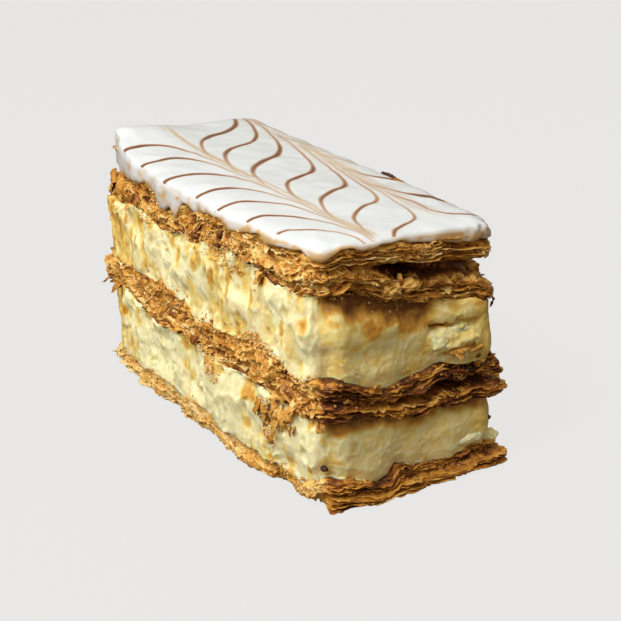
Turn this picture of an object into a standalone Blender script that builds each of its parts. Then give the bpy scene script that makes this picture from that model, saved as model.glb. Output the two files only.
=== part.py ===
"""Mille feuille slice: three slabs of puff pastry, two bands of vanilla cream and a lid of icing.

The frame: +X across the slice, +Y along it to the far end, +Z up, origin at the middle of the base.
Each layer is a loft between unlike sections. Its sections are rings of one plan outline, drawn in or
let out and bent to the layer's own height, so that bundles of leaves stand proud of the grooves
between them. Neighbouring layers share one seam height and keep a small gap to it.
"""

import collections
import math

import bmesh
import bpy

MM = 0.001

# The plan: a long rectangle with soft corners, whose cut side at -X bows out at mid length.
LENGTH = 100.0 * MM
WIDTH = 45.0 * MM
CORNER = 2.6 * MM  # radius of the plan's corners
CORNER_STEPS = 3
SIDE_STEPS = (30, 12)  # points along a long side and along a short one
BOW = 3.6 * MM  # how far the bowed side pulls back in at the two ends
BOW_POWER = 3.0
BOX_MIDDLE = (0.6 * MM, 0.2 * MM)  # from the plan's middle to the middle of the box round all leaves

# The layers, from the base up: name, thickness at the middle, and how fast the thickness grows
# per unit of length across the slice and along it.
LAYERS = (
    ("pastry_bottom", 5.8 * MM, -0.045, 0.000),
    ("cream_lower", 11.6 * MM, -0.070, 0.008),
    ("pastry_middle", 8.4 * MM, -0.030, -0.015),
    ("cream_upper", 14.3 * MM, -0.110, -0.008),
    ("pastry_top", 12.0 * MM, 0.160, 0.012),
    ("icing", 2.7 * MM, 0.002, 0.006),
)
GAP = 0.36 * MM  # between neighbouring layers
RIM = 9.0 * MM  # width of the rim where a seam waves; further in it is flat
SEAM_WAVE = (0.0, 0.6 * MM, 0.8 * MM, 0.9 * MM, 0.8 * MM, 0.5 * MM, 0.2 * MM)
WAVES = ((5, 0.35), (13, 0.40), (29, 0.25))  # waves round the outline and their shares of its height

# Bundles of leaves in each pastry slab: the low edge and the high edge as shares of its thickness,
# and how far the bundle reaches past the outline on the side at -X and on the side at +X.
BUNDLES = {
    "pastry_bottom": ((0.00, 0.48, 0.3 * MM, 1.2 * MM), (0.60, 1.0, 0.0 * MM, -0.6 * MM)),
    "pastry_middle": (
        (0.00, 0.36, 0.2 * MM, 1.5 * MM),
        (0.56, 0.78, 0.3 * MM, 0.4 * MM),
        (0.88, 1.00, 0.4 * MM, -0.2 * MM),
    ),
    "pastry_top": (
        (0.00, 0.22, 0.1 * MM, 0.0 * MM),
        (0.30, 0.44, 0.2 * MM, -0.4 * MM),
        (0.66, 1.00, 0.4 * MM, 0.2 * MM),
    ),
}
LEAF_RAGGED = 0.8 * MM
TUCK = 0.8 * MM  # the top slab's leaves reach past the icing by no more than this
GROOVE = 1.5 * MM  # depth of a groove between two bundles
SPLIT = {"pastry_middle": 1, "pastry_top": 2}  # the bundle whose lower groove gapes at the near end
SPLIT_DEPTH = 8.0 * MM
FOOT_ROUND = 0.8 * MM  # the base ring is drawn in by this much
FOOT_SHARE = 0.12

# The cream bands: share of the thickness and how far the side keeps inside the outline there. The
# side at +X has slumped further in.
CREAM_SIDE = ((0.0, 1.0 * MM), (0.2, 0.4 * MM), (0.5, 0.2 * MM), (0.8, 0.4 * MM), (1.0, 1.0 * MM))
SLUMP = {"cream_lower": 1.8 * MM, "cream_upper": 1.0 * MM}
CREAM_RAGGED = 0.5 * MM

# The icing wraps over the edge of the top slab in a lip, which is longer where it ran down.
ICING_CORNERS = (0.4 * MM, 1.3 * MM, 3.2 * MM, -1.4 * MM)  # inset, near -X, near +X, far -X, far +X
ICING_BOW = 1.4 * MM  # how far it reaches out again at mid length on the side at -X
ICING_RAGGED = 0.4 * MM
ICING_ROUND = 1.4 * MM
LIP_OUT = 0.9 * MM
LIP_CLEAR = 0.5 * MM
LIP_DROP = 0.5 * MM
RUNS = ((6.0 * MM, 3.2 * MM, 2.6 * MM), (-2.4 * MM, 2.0 * MM, 2.2 * MM))  # place along Y, width, drop

COLOURS = {  # linear base colour and roughness
    "pastry_bottom": ((0.52, 0.29, 0.10), 0.75),
    "cream_lower": ((0.84, 0.74, 0.42), 0.50),
    "pastry_middle": ((0.45, 0.22, 0.07), 0.72),
    "cream_upper": ((0.84, 0.75, 0.44), 0.50),
    "pastry_top": ((0.42, 0.20, 0.06), 0.72),
    "icing": ((0.82, 0.84, 0.86), 0.28),
}

# A place on the plan's outline: from -1 to 1 across the slice and along it, and 0 to 1 round it.
Spot = collections.namedtuple("Spot", "across along round")


def plan_spots():
    """The spots of the outline, a rectangle with round corners, anticlockwise from the near +X corner."""
    inner_x, inner_y = WIDTH / 2 - CORNER, LENGTH / 2 - CORNER
    centres = ((inner_x, -inner_y), (inner_x, inner_y), (-inner_x, inner_y), (-inner_x, -inner_y))
    points = []
    for corner, (x, y) in enumerate(centres):
        for step in range(CORNER_STEPS + 1):
            turn = math.radians(90) * (corner - 1 + step / CORNER_STEPS)
            points.append((x + CORNER * math.cos(turn), y + CORNER * math.sin(turn)))
        start_x, start_y = points[-1]
        next_x, next_y = centres[(corner + 1) % 4]
        steps = SIDE_STEPS[corner % 2]
        for step in range(1, steps):
            points.append((start_x + (next_x - x) * step / steps, start_y + (next_y - y) * step / steps))
    travelled = [0.0]
    for here, there in zip(points, points[1:] + points[:1]):
        travelled.append(travelled[-1] + math.dist(here, there))
    return [
        Spot(2 * x / WIDTH, 2 * y / LENGTH, so_far / travelled[-1])
        for (x, y), so_far in zip(points, travelled)
    ]


def outline(spot, inset):
    """Plan point of a spot, moved inwards by inset. The side at -X bows out at mid length."""
    x = (WIDTH / 2 - inset) * spot.across
    y = (LENGTH / 2 - inset) * spot.along
    bow = BOW * abs(2 * y / LENGTH) ** BOW_POWER * (0.5 - x / WIDTH)
    return x + bow - BOX_MIDDLE[0], y - BOX_MIDDLE[1]


def smooth(low, high, value):
    """0 below low, 1 above high, and a smooth step between."""
    t = min(1.0, max(0.0, (value - low) / (high - low)))
    return t * t * (3 - 2 * t)


def side_to_side(spot, left, right):
    """A size that goes evenly from left, at -X, to right, at +X."""
    return left + (right - left) * (1 + spot.across) / 2


def ragged(spot, seed, size):
    """An uneven edge: waves round the outline whose phases come from the seed."""
    return size * sum(share * math.sin(2 * math.pi * n * spot.round + seed * (1.7 + n)) for n, share in WAVES)


def seam_height(seam, spot, inset):
    """Height of a seam: the layers below it at their thickness there, with a wave on the rim."""
    x, y = outline(spot, inset)
    height = sum(thickness + x * across + y * along for _, thickness, across, along in LAYERS[:seam])
    return height + ragged(spot, seam, SEAM_WAVE[seam]) * (1.0 - inset / RIM)


def ring(layer, share, inset_at, drop_at=lambda spot: 0.0):
    """One section of a layer, at a share of its thickness, with an inset and a drop for each spot."""
    points = []
    for spot in SPOTS:
        inset = inset_at(spot)
        x, y = outline(spot, inset)
        low = seam_height(layer, spot, inset) + (GAP / 2 if layer else 0.0)
        high = seam_height(layer + 1, spot, inset) - (GAP / 2 if layer + 1 < len(LAYERS) else 0.0)
        points.append((x, y, low + (high - low) * share - drop_at(spot)))
    return points


def flat_rim(layer, share):
    """The innermost ring of a layer's upper or lower face, where the seams no longer wave."""
    return ring(layer, share, lambda spot: RIM)


def loft(name, rings):
    """A closed solid through the rings, from the lowest up, with a flat cap on each end."""
    bm = bmesh.new()
    loops = [[bm.verts.new(point) for point in points] for points in rings]
    for low, high in zip(loops, loops[1:]):
        for i, j in zip(range(len(low)), [*range(1, len(low)), 0]):
            bm.faces.new((low[i], low[j], high[j], high[i]))
    bm.faces.new(reversed(loops[0]))
    bm.faces.new(loops[-1])
    mesh = bpy.data.meshes.new(name)
    bm.to_mesh(mesh)
    bm.free()
    mesh.shade_smooth()
    mesh.set_sharp_from_angle(angle=math.radians(40))
    layer = bpy.data.objects.new(name, mesh)
    layer.data.materials.append(finish(name))
    bpy.data.collections["mille_feuille"].objects.link(layer)


def finish(name):
    """The layer's own material."""
    colour, roughness = COLOURS[name]
    material = bpy.data.materials.new(name)
    material.use_nodes = True
    shader = material.node_tree.nodes["Principled BSDF"]
    shader.inputs["Base Color"].default_value = (*colour, 1.0)
    shader.inputs["Roughness"].default_value = roughness
    return material


def gape(spot):
    """How far a split stands open: 1 on the near end from the middle to the corner at +X, 0 elsewhere."""
    return smooth(0.80, 0.97, -spot.along) * smooth(-0.75, -0.05, spot.across)


def leaf_edge(layer, number, left, right):
    """The inset of a leaf bundle's edge. Under the icing, the top slab follows its outline."""
    seed = 3.1 * layer + 1.3 * number

    def edge(spot):
        inset = ragged(spot, seed, LEAF_RAGGED) - side_to_side(spot, left, right)
        return max(inset, icing_inset(spot) - TUCK) if LAYERS[layer][0] == "pastry_top" else inset

    return edge


def groove(layer, number, left, right):
    """The inset of the groove below a bundle. A split is much deeper at the near end."""
    depth = SPLIT_DEPTH if SPLIT.get(LAYERS[layer][0]) == number else 0.0
    edge = leaf_edge(layer, number, left, right)
    return lambda spot: edge(spot) + GROOVE + depth * gape(spot)


def pastry(layer):
    """A slab of puff pastry: bundles of leaves with grooves between them."""
    name = LAYERS[layer][0]
    rings, below = [], 0.0
    for number, (low, high, left, right) in enumerate(BUNDLES[name]):
        edge = leaf_edge(layer, number, left, right)
        if number:
            rings.append(ring(layer, (below + low) / 2, groove(layer, number, left, right)))
        if layer == 0 and number == 0:
            rings.append(ring(layer, low, lambda spot: edge(spot) + FOOT_ROUND))
            low = FOOT_SHARE
        rings.append(ring(layer, low, edge))
        if name == "pastry_top" and high == 1.0:
            rings += under_the_lip(layer, edge)
        else:
            rings.append(ring(layer, high, edge))
        below = high
    if layer:
        rings.insert(0, flat_rim(layer, 0.0))
    return loft(name, [*rings, flat_rim(layer, 1.0)])


def under_the_lip(layer, edge):
    """The top slab's upper edge, which keeps clear of the lip of icing that hangs over it."""

    def below_the_lip(spot):
        return LIP_DROP + GAP + run(spot)

    return [
        ring(layer, 1.0, edge, below_the_lip),
        ring(layer, 1.0, lip_inside, below_the_lip),
        ring(layer, 1.0, lip_inside, lambda spot: GAP),
        ring(layer, 1.0, lambda spot: lip_inside(spot) + LIP_CLEAR),
    ]


def cream(layer):
    """A band of cream that bulges between two slabs and has slumped in on one side."""
    name = LAYERS[layer][0]

    def side(keep_in):
        return lambda spot: keep_in + side_to_side(spot, 0.0, SLUMP[name]) + ragged(spot, layer, CREAM_RAGGED)

    rings = [ring(layer, share, side(keep_in)) for share, keep_in in CREAM_SIDE]
    return loft(name, [flat_rim(layer, 0.0), *rings, flat_rim(layer, 1.0)])


def icing_inset(spot):
    """How far the icing's edge keeps inside the outline."""
    near_left, near_right, far_left, far_right = ICING_CORNERS
    near = side_to_side(spot, near_left, near_right)
    far = side_to_side(spot, far_left, far_right)
    bow = side_to_side(spot, ICING_BOW, 0.0) * (1 - spot.along**2)
    return near + (far - near) * (1 + spot.along) / 2 - bow + ragged(spot, 9.0, ICING_RAGGED)


def lip_inside(spot):
    """The inset at which the top slab just clears the inner face of the lip."""
    return icing_inset(spot) + LIP_CLEAR


def run(spot):
    """How far the icing ran down over the side at -X."""
    y = LENGTH / 2 * spot.along
    down = sum(drop * math.exp(-(((y - place) / width) ** 2)) for place, width, drop in RUNS)
    return down if spot.across < -0.9 else 0.0


def icing(layer):
    """The lid of icing: a soft-edged sheet with a lip that hangs over the slab below."""

    def past(extra):
        return lambda spot: icing_inset(spot) + extra

    rings = [
        flat_rim(layer, 0.0),
        ring(layer, 0.0, past(0.0)),
        ring(layer, 0.0, past(-0.35 * LIP_OUT), lambda spot: LIP_DROP + run(spot)),
        ring(layer, 0.0, past(-LIP_OUT), lambda spot: 0.8 * (LIP_DROP + run(spot))),
        ring(layer, 0.5, past(-0.9 * LIP_OUT)),
        ring(layer, 0.86, past(-0.1 * LIP_OUT)),
        ring(layer, 1.0, past(ICING_ROUND)),
        flat_rim(layer, 1.0),
    ]
    return loft(LAYERS[layer][0], rings)


def clear_scene():
    """Removes what the startup file holds and makes the object's own collection."""
    for thing in list(bpy.data.objects):
        bpy.data.objects.remove(thing)
    group = bpy.data.collections.new("mille_feuille")
    bpy.context.scene.collection.children.link(group)


def main():
    clear_scene()
    makers = {"pastry": pastry, "cream": cream, "icing": icing}
    for layer, (name, *_) in enumerate(LAYERS):
        makers[name.split("_")[0]](layer)


SPOTS = plan_spots()
main()
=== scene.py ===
"""Mille feuille slice: the finish of its pastry, cream and icing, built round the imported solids.

Lengths in the functions are millimetres unless a name says otherwise; put_mesh turns them to metres.
The frame: +X across the slice, +Y along it to the far end, +Z up, origin at the middle of the base.
A surface is rings round the slice, stacked into a band: columns run round it and rows run up it.
"""

import collections
import itertools
import math
import types

import bpy
import numpy as np
from bpy.props import FloatProperty, FloatVectorProperty, IntProperty, PointerProperty
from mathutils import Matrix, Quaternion, Vector


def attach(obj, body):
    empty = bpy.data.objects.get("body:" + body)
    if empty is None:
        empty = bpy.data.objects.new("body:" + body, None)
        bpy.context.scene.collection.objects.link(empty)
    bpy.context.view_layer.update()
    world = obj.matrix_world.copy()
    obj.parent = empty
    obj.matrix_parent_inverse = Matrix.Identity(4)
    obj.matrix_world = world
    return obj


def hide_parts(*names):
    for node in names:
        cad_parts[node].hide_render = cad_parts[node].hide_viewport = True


bl_info = {
    "name": "Mille feuille slice",
    "version": (1, 0, 0),
    "blender": (4, 5, 0),
    "location": "3D View > Sidebar > Pastry",
    "description": "Builds the leaves, cream, icing and crumbs of a mille feuille slice round its solids",
    "category": "Add Mesh",
}

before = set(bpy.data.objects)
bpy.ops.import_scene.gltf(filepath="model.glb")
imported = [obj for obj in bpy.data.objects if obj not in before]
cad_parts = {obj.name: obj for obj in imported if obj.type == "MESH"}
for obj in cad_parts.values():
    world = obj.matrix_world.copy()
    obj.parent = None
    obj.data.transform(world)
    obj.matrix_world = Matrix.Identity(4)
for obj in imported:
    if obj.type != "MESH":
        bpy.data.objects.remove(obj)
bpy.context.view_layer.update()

MM = 0.001
BODY = "root"

# The plan, as the solids have it: a rectangle with soft corners whose side at -X bows out.
LENGTH = 100.0
WIDTH = 45.0
CORNER = 2.6
BOW = 3.6
BOX_MIDDLE = (0.6, 0.2)  # the middle of its box, which the base has at the origin

# The layers, as the solids have them: thickness at the middle, and its growth across and along.
LAYERS = {
    "pastry_bottom": (5.8, -0.045, 0.000),
    "cream_lower": (11.6, -0.070, 0.008),
    "pastry_middle": (8.4, -0.030, -0.015),
    "cream_upper": (14.3, -0.110, -0.008),
    "pastry_top": (12.0, 0.160, 0.012),
    "icing": (2.7, 0.002, 0.006),
}
NAMES = tuple(LAYERS)
RIM = 9.0  # the seams wave within this distance of the outline
SEAM_WAVE = (0.0, 0.6, 0.8, 0.9, 0.8, 0.5, 0.2)  # how far each seam waves, from the base up
WAVES = ((5, 0.35), (13, 0.40), (29, 0.25))  # waves round the outline and their shares of its height
SEAM_ROUGH = 0.6  # crumbs and cream press into each other by this much

# Bundles of leaves: low and high edge as shares of the slab, and reach at -X and at +X.
BUNDLES = {
    "pastry_bottom": ((0.00, 0.48, 0.3, 1.2), (0.60, 1.0, 0.0, -0.6)),
    "pastry_middle": ((0.00, 0.36, 0.2, 1.5), (0.56, 0.78, 0.3, 0.4), (0.88, 1.00, 0.4, -0.2)),
    "pastry_top": ((0.00, 0.22, 0.1, 0.0), (0.30, 0.44, 0.2, -0.4), (0.66, 1.00, 0.4, 0.2)),
}
LEAF_RAGGED = 0.8  # how far a bundle's edge wanders
TUCK = 0.8  # the top slab's leaves reach past the icing by no more than this
GROOVE = 1.5  # depth of a groove between two bundles
SPLIT = {"pastry_middle": 1, "pastry_top": 2}  # the bundle whose lower groove gapes at the near end
SPLIT_DEPTH = 8.0

# How far the low and the high edge of a bundle give way where a split gapes, as shares of the slab.
SPLIT_WIDER = {
    ("pastry_top", 0): (0.0, -0.10),
    ("pastry_top", 1): (-0.15, -0.19),
    ("pastry_middle", 1): (0.09, 0.0),
    ("pastry_middle", 0): (0.0, -0.06),
}

# The side of a cream band as shares of its height and insets, and how much further in it is at +X.
CREAM_SIDE = ((0.0, 1.0), (0.2, 0.4), (0.5, 0.2), (0.8, 0.4), (1.0, 1.0))
SLUMP = {"cream_lower": 1.8, "cream_upper": 1.0}
CREAM_RAGGED = 0.5
ICING_CORNERS = (0.4, 1.3, 3.2, -1.4)  # inset of the icing, near -X, near +X, far -X, far +X
ICING_BOW = 1.4  # how far it reaches out again at mid length on the side at -X
ICING_RAGGED = 0.4
LIP_OUT = 0.9  # how far its lip bulges past its edge

# How the seams rise and fall along the two sides that were cut. Places are millimetres along the rim:
# -100 at the far corner at -X, 0 at the near corner at -X and 45 at the near corner at +X. Each pair
# is a place and a height.
SEAM_PROFILE = {
    1: (
        (-98, -3.6), (-93, -2.4), (-81, -1.6), (-60, -0.8), (-50, -0.8), (-40, -1.3), (-30, -1.7),
        (-23, -2.8), (-16, -1.7), (-12, -2.2), (-9, -3.2), (-6, -2.8), (-3, -1.4), (1, -1.2), (4, -0.8),
        (8, -1.2), (12, -2.6), (15, -2.3), (17, -0.5), (19.5, -0.4), (22, -1.5), (26, -1.9), (34, -1.2),
        (40, -0.3), (45, -0.5),
    ),
    2: (
        (-97, 1.2), (-90, 2.6), (-85, 3.0), (-81, 1.6), (-78, 0.2), (-70, -0.3), (-62, 0.3), (-57, 0.8),
        (-52, 0.9), (-47, 1.5), (-38, 1.0), (-34, 0.2), (-29, 1.4), (-20, 1.4), (-14, 0.2), (-9, -0.4),
        (-3, 0.3), (1, 1.0), (5, 0.8), (12, 0.0), (22, -0.3), (32, 0.0), (45, 0.6),
    ),
    3: (
        (-97, 0.4), (-88, 0.0), (-80, 0.3), (-75, 1.0), (-70, 0.5), (-65, 1.4), (-60, 0.8), (-55, 1.7),
        (-50, 0.5), (-46, -1.6), (-42, -1.8), (-37, -0.3), (-32, -0.4), (-27, 1.1), (-20, 0.0),
        (-14, -0.3), (-11, -2.0), (-6, -2.2), (-2, -1.6), (2, -0.8), (5, -1.2), (9, -2.5), (12, -3.0),
        (17, -3.0), (20, -2.5), (22, -2.1), (25, -1.1), (27, -0.4), (30, 0.3), (34, 0.0), (41, -0.3),
        (45, -0.8),
    ),
    4: (
        (-99, -1.8), (-91, -2.3), (-84, -1.7), (-75, -0.2), (-70, -1.0), (-67, -1.4), (-62, -1.9),
        (-55, -0.9), (-52, -0.2), (-47, -1.4), (-44, 0.0), (-38, 1.2), (-34, 1.9), (-27, 1.4), (-23, 0.2),
        (-19, -0.6), (-14, -1.0), (-8, -1.1), (-3, -0.4), (0, 0.5), (3, 1.3), (8, 1.7), (11, 1.0), (15, 0.3),
        (21, 0.0), (34, 0.1), (42, -0.6), (45, -0.7),
    ),
}
# How far the icing hangs below its seam along the two cut sides, or how far the seam rises (-).
ICING_FALL = (
    (-100, 3.2), (-94, 3.4), (-88, 3.8), (-80, 3.8), (-76, 3.0), (-72.7, 2.1), (-68, 1.4), (-64, 2.0),
    (-62, 3.0), (-60, 5.2), (-57, 4.8), (-55, 3.2), (-53.6, 3.3), (-51.8, 5.0), (-50.3, 3.0),
    (-48.7, 0.6), (-47, 0.2), (-44, 1.1), (-40, 0.6), (-33, 0.0), (-30, 0.3), (-28, 1.6), (-25, 0.6),
    (-17, -0.4), (-15.6, 1.1), (-12, 0.5), (-9, 0.2), (-5, -0.6), (-2, 0.3), (0.5, 0.6), (2, 0.3),
    (3.8, -0.6), (5.1, -1.5), (7.5, -1.3), (9.9, -0.2), (12.3, -0.4), (14.8, -1.2), (19.8, -1.3),
    (22.3, -0.7), (24.9, -0.4), (27.4, 0.0), (29.9, 0.6), (32.5, 1.2), (40, 1.4), (45, 1.2),
)

# Where the edge of a layer's bundle is broken off (+) or stands out (-): place in X and Y, radius and size.
BITES = {
    ("pastry_top", 2): (((-19.0, 50.0), 9.0, 5.0), ((-22.5, -4.8), 1.8, 2.6)),
    ("pastry_top", 0): (((-13.5, -49.0), 4.5, 1.6),),
    ("icing", 0): (((-20.0, 52.0), 12.0, 2.2), ((22.0, -22.0), 15.0, -1.7)),
    ("pastry_top", 1): (((-22.5, -5.6), 1.5, 1.8),),
    ("pastry_middle", 0): (((23.0, -49.6), 8.0, 0.6), ((-21.0, 48.0), 4.5, -1.4)),
    ("pastry_middle", 1): (((-21.0, 48.0), 4.5, -0.6),),
    ("pastry_middle", 2): (((-21.0, 48.0), 5.0, 0.8),),
    ("pastry_bottom", 0): (((-20.5, -48.5), 5.0, 1.5), ((-22.0, -36.0), 4.0, 1.2)),
    ("pastry_bottom", 1): (((-20.5, -48.5), 4.0, 0.6),),
    ("cream_upper", 0): (((22.0, -49.0), 13.0, -2.6), ((-19.0, 50.0), 5.0, 1.4)),
    ("cream_lower", 0): (((22.0, -49.0), 13.0, -2.6),),
}

# A place on the outline: from -1 to 1 across the slice and along it, and 0 to 1 round it.
Spots = collections.namedtuple("Spots", "across along round")


def linear(code):
    """An sRGB hex colour as linear red, green and blue."""
    shares = [int(code[i : i + 2], 16) / 255 for i in (1, 3, 5)]
    return tuple(c / 12.92 if c <= 0.04045 else ((c + 0.055) / 1.055) ** 2.4 for c in shares)


# --- Noise ---


def lattice(x, y, z, seed):
    """A random number from 0 to 1 for each whole-numbered point, by mixing the bits of its numbers."""
    h = (x * 73856093) ^ (y * 19349663) ^ (z * 83492791) ^ (seed * 40503551)
    for _ in range(3):
        h = h & 0xFFFFFFFF
        h = (h ^ (h >> 15)) * 0x2C1B3C6D
    return ((h >> 8) & 0xFFFFFF) / 0xFFFFFF


def clouds(x, y, z, grain, seed, octaves=1):
    """Smooth noise from about -1 to 1. Random values on a lattice are blended by the ease 6t^5 - 15t^4 +
    10t^3 along each axis. grain is the lattice spacing, one number or one for each axis, and each
    further octave is half as large and half as strong."""
    grains = np.broadcast_to(np.asarray(grain, float), (3,))
    x, y, z = np.broadcast_arrays(*(np.asarray(values, float) for values in (x, y, z)))
    total, strength, share = np.zeros(x.shape), 0.0, 1.0
    for octave in range(octaves):
        cells, blends = [], []
        for axis, values in enumerate((x, y, z)):
            scaled = values / grains[axis] * 2**octave + 31.7 * (octave + 1) + 7.3 * seed
            whole = np.floor(scaled)
            part = scaled - whole
            cells.append(whole.astype(np.int64))
            blends.append(part**3 * (part * (part * 6 - 15) + 10))
        for corner in range(8):
            steps = [(corner >> axis) & 1 for axis in range(3)]
            weight = share
            for step, blend in zip(steps, blends):
                weight = weight * (blend if step else 1 - blend)
            value = lattice(*(cell + step for cell, step in zip(cells, steps)), seed + octave)
            total += weight * (2 * value - 1)
        strength += share
        share *= 0.5
    return total / strength * 1.5


def bubbles(x, y, z, grain, seed):
    """Distance to the nearest of a set of scattered points, one in each cell of a lattice, as a share of
    the cell. It is near 0 at a point and about 1 where three cells meet."""
    x, y, z = (np.asarray(values, float) / grain for values in np.broadcast_arrays(x, y, z))
    cells = [np.floor(values).astype(np.int64) for values in (x, y, z)]
    nearest = np.full(x.shape, 9.0)
    for step in range(27):
        near = [cell + (step // 3**axis) % 3 - 1 for axis, cell in enumerate(cells)]
        gaps = [
            cell + lattice(*near, seed + axis) - values
            for axis, (cell, values) in enumerate(zip(near, (x, y, z)))
        ]
        nearest = np.minimum(nearest, gaps[0] ** 2 + gaps[1] ** 2 + gaps[2] ** 2)
    return np.sqrt(nearest)


def ease(low, high, value):
    """0 below low, 1 above high, and a smooth step between."""
    t = np.clip((value - low) / (high - low), 0.0, 1.0)
    return t * t * (3 - 2 * t)


def hill(value, middle, width):
    """A smooth hill, 1 at the middle and falling off as exp(-((value - middle) / width)^2)."""
    return np.exp(-(((value - middle) / width) ** 2))


# --- The plan and the layers, as in the solids ---


def rim_spots(count):
    """Spots evenly spaced round the plan from the middle of the near end: four quarter circles joined
    by straight sides, measured and cut into equal steps. Those at -X mirror those at +X. The round of
    a spot is measured from the near corner at +X."""
    inner_x, inner_y = WIDTH / 2 - CORNER, LENGTH / 2 - CORNER
    turns = np.radians(np.linspace(-90, 0, 25))
    x, y = [], []
    for corner, (side_x, side_y) in enumerate(((1, -1), (1, 1), (-1, 1), (-1, -1))):
        x.append(side_x * inner_x + CORNER * np.cos(turns + math.pi / 2 * corner))
        y.append(side_y * inner_y + CORNER * np.sin(turns + math.pi / 2 * corner))
    x, y = np.concatenate(x), np.concatenate(y)
    x, y = np.append(x, x[0]), np.append(y, y[0])
    travelled = np.concatenate(([0], np.cumsum(np.hypot(np.diff(x), np.diff(y)))))
    at = (np.arange(count) / count * travelled[-1] - inner_x) % travelled[-1]
    across, along = np.interp(at, travelled, x) * 2 / WIDTH, np.interp(at, travelled, y) * 2 / LENGTH
    return Spots(across, along, at / travelled[-1])


def outline(spots, inset):
    """Plan points of the spots moved inwards by inset: both half sides shrink by it, and the side at -X
    is pushed in by BOW times the cube of the way from mid length to an end."""
    x = (WIDTH / 2 - inset) * spots.across
    y = (LENGTH / 2 - inset) * spots.along
    bow = BOW * np.abs(2 * y / LENGTH) ** 3 * (0.5 - x / WIDTH)
    return x + bow - BOX_MIDDLE[0], y - BOX_MIDDLE[1]


def outward(spots):
    """The level direction that points out of the outline at each spot: its tangent turned by -90."""
    x, y = outline(spots, 0.0)
    step_x, step_y = np.roll(x, -1) - np.roll(x, 1), np.roll(y, -1) - np.roll(y, 1)
    size = np.hypot(step_x, step_y)
    return step_y / size, -step_x / size


def side_to_side(spots, left, right):
    """A size that goes evenly from left, at -X, to right, at +X."""
    return left + (right - left) * (1 + spots.across) / 2


def ragged(spots, seed, size):
    """An uneven edge: three sine waves round the outline whose phases come from the seed."""
    waves = (share * np.sin(2 * math.pi * n * spots.round + seed * (1.7 + n)) for n, share in WAVES)
    return size * sum(waves)


def cut_sides(spots):
    """The place of each spot along the rim, as in SEAM_PROFILE, and how much it belongs to the two cut
    sides: 1 there, falling to 0 within 12 mm on the others."""
    from_left, from_near = (1 + spots.across) * WIDTH / 2, (1 + spots.along) * LENGTH / 2
    return from_left - from_near, ease(12.0, 2.0, np.minimum(from_left, from_near))


def fall(spots):
    """How far the icing hangs below its seam, or the seam rises where it is below 0."""
    place, cut = cut_sides(spots)
    return np.interp(place, *zip(*ICING_FALL)) * cut


def seam(number, spots, inset):
    """Height of a seam: the sum of the layers below it at their thickness there, with waves on the rim,
    the rise and fall along the cut sides, and fine noise where cream and crumb meet."""
    x, y = outline(spots, inset)
    height = sum(thick + x * across + y * along for thick, across, along in list(LAYERS.values())[:number])
    wave = ragged(spots, number, SEAM_WAVE[number])
    if number in SEAM_PROFILE:
        place, cut = cut_sides(spots)
        wave = wave + np.interp(place, *zip(*SEAM_PROFILE[number])) * cut
    if number == 5:
        wave = wave + np.maximum(-fall(spots), 0.0)
    wave = wave * (1 - inset / RIM)
    if 0 < number < 5:
        rough = clouds(x, y, 9.7 * number, (3.0, 3.0, 1.0), number, octaves=3)
        wave = wave + SEAM_ROUGH * rough * ease(RIM, 4.0, inset)
    return height + wave


def sides(spots):
    """How much a spot faces the -X side, the near end, the +X side and the far end, 0 to 1 each."""
    ends = ease(0.935, 0.985, np.abs(spots.along))
    left = ease(0.85, 0.97, -spots.across) * (1 - ends)
    right = ease(0.85, 0.97, spots.across) * (1 - ends)
    return left, ends * (spots.along < 0), right, ends * (spots.along > 0)


def gape(spots):
    """How far a split stands open: 1 on the near end from just past the middle to the corner at +X."""
    return ease(0.80, 0.97, -spots.along) * ease(-0.50, 0.04, spots.across)


def icing_inset(spots):
    """How far the icing keeps inside the outline: blended between four corners, less a bow at -X."""
    near_left, near_right, far_left, far_right = ICING_CORNERS
    near = side_to_side(spots, near_left, near_right)
    far = side_to_side(spots, far_left, far_right)
    bow = side_to_side(spots, ICING_BOW, 0.0) * (1 - spots.along**2)
    return near + (far - near) * (1 + spots.along) / 2 - bow + ragged(spots, 9.0, ICING_RAGGED)


def bitten(name, number, spots):
    """The inset added where a layer's edge is broken off or stands out, falling off round each place."""
    x, y = outline(spots, 0.0)
    return sum(
        by * hill(np.hypot(x - place[0], y - place[1]), 0.0, radius)
        for place, radius, by in BITES.get((name, number), ())
    )


def leaf_edge(layer, number, spots):
    """The inset of a leaf bundle's edge. Under the icing, the top slab follows its outline."""
    name = NAMES[layer]
    _, _, left, right = BUNDLES[name][number]
    inset = ragged(spots, 3.1 * layer + 1.3 * number, LEAF_RAGGED) - side_to_side(spots, left, right)
    if name == "pastry_top":
        behind = 0.5 * ease(0.8, 2.5, fall(spots)) if number == 2 else 0.0
        inset = np.maximum(inset, icing_inset(spots) - TUCK + behind)
    return inset + bitten(name, number, spots)


def bundle_span(layer, number, spots):
    """The low and the high edge of a bundle, as shares of the slab, moved apart where a split gapes."""
    low, high, *_ = BUNDLES[NAMES[layer]][number]
    down, up = SPLIT_WIDER.get((NAMES[layer], number), (0.0, 0.0))
    return low + down * gape(spots), high + up * gape(spots)


# --- Bands and meshes ---


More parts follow.
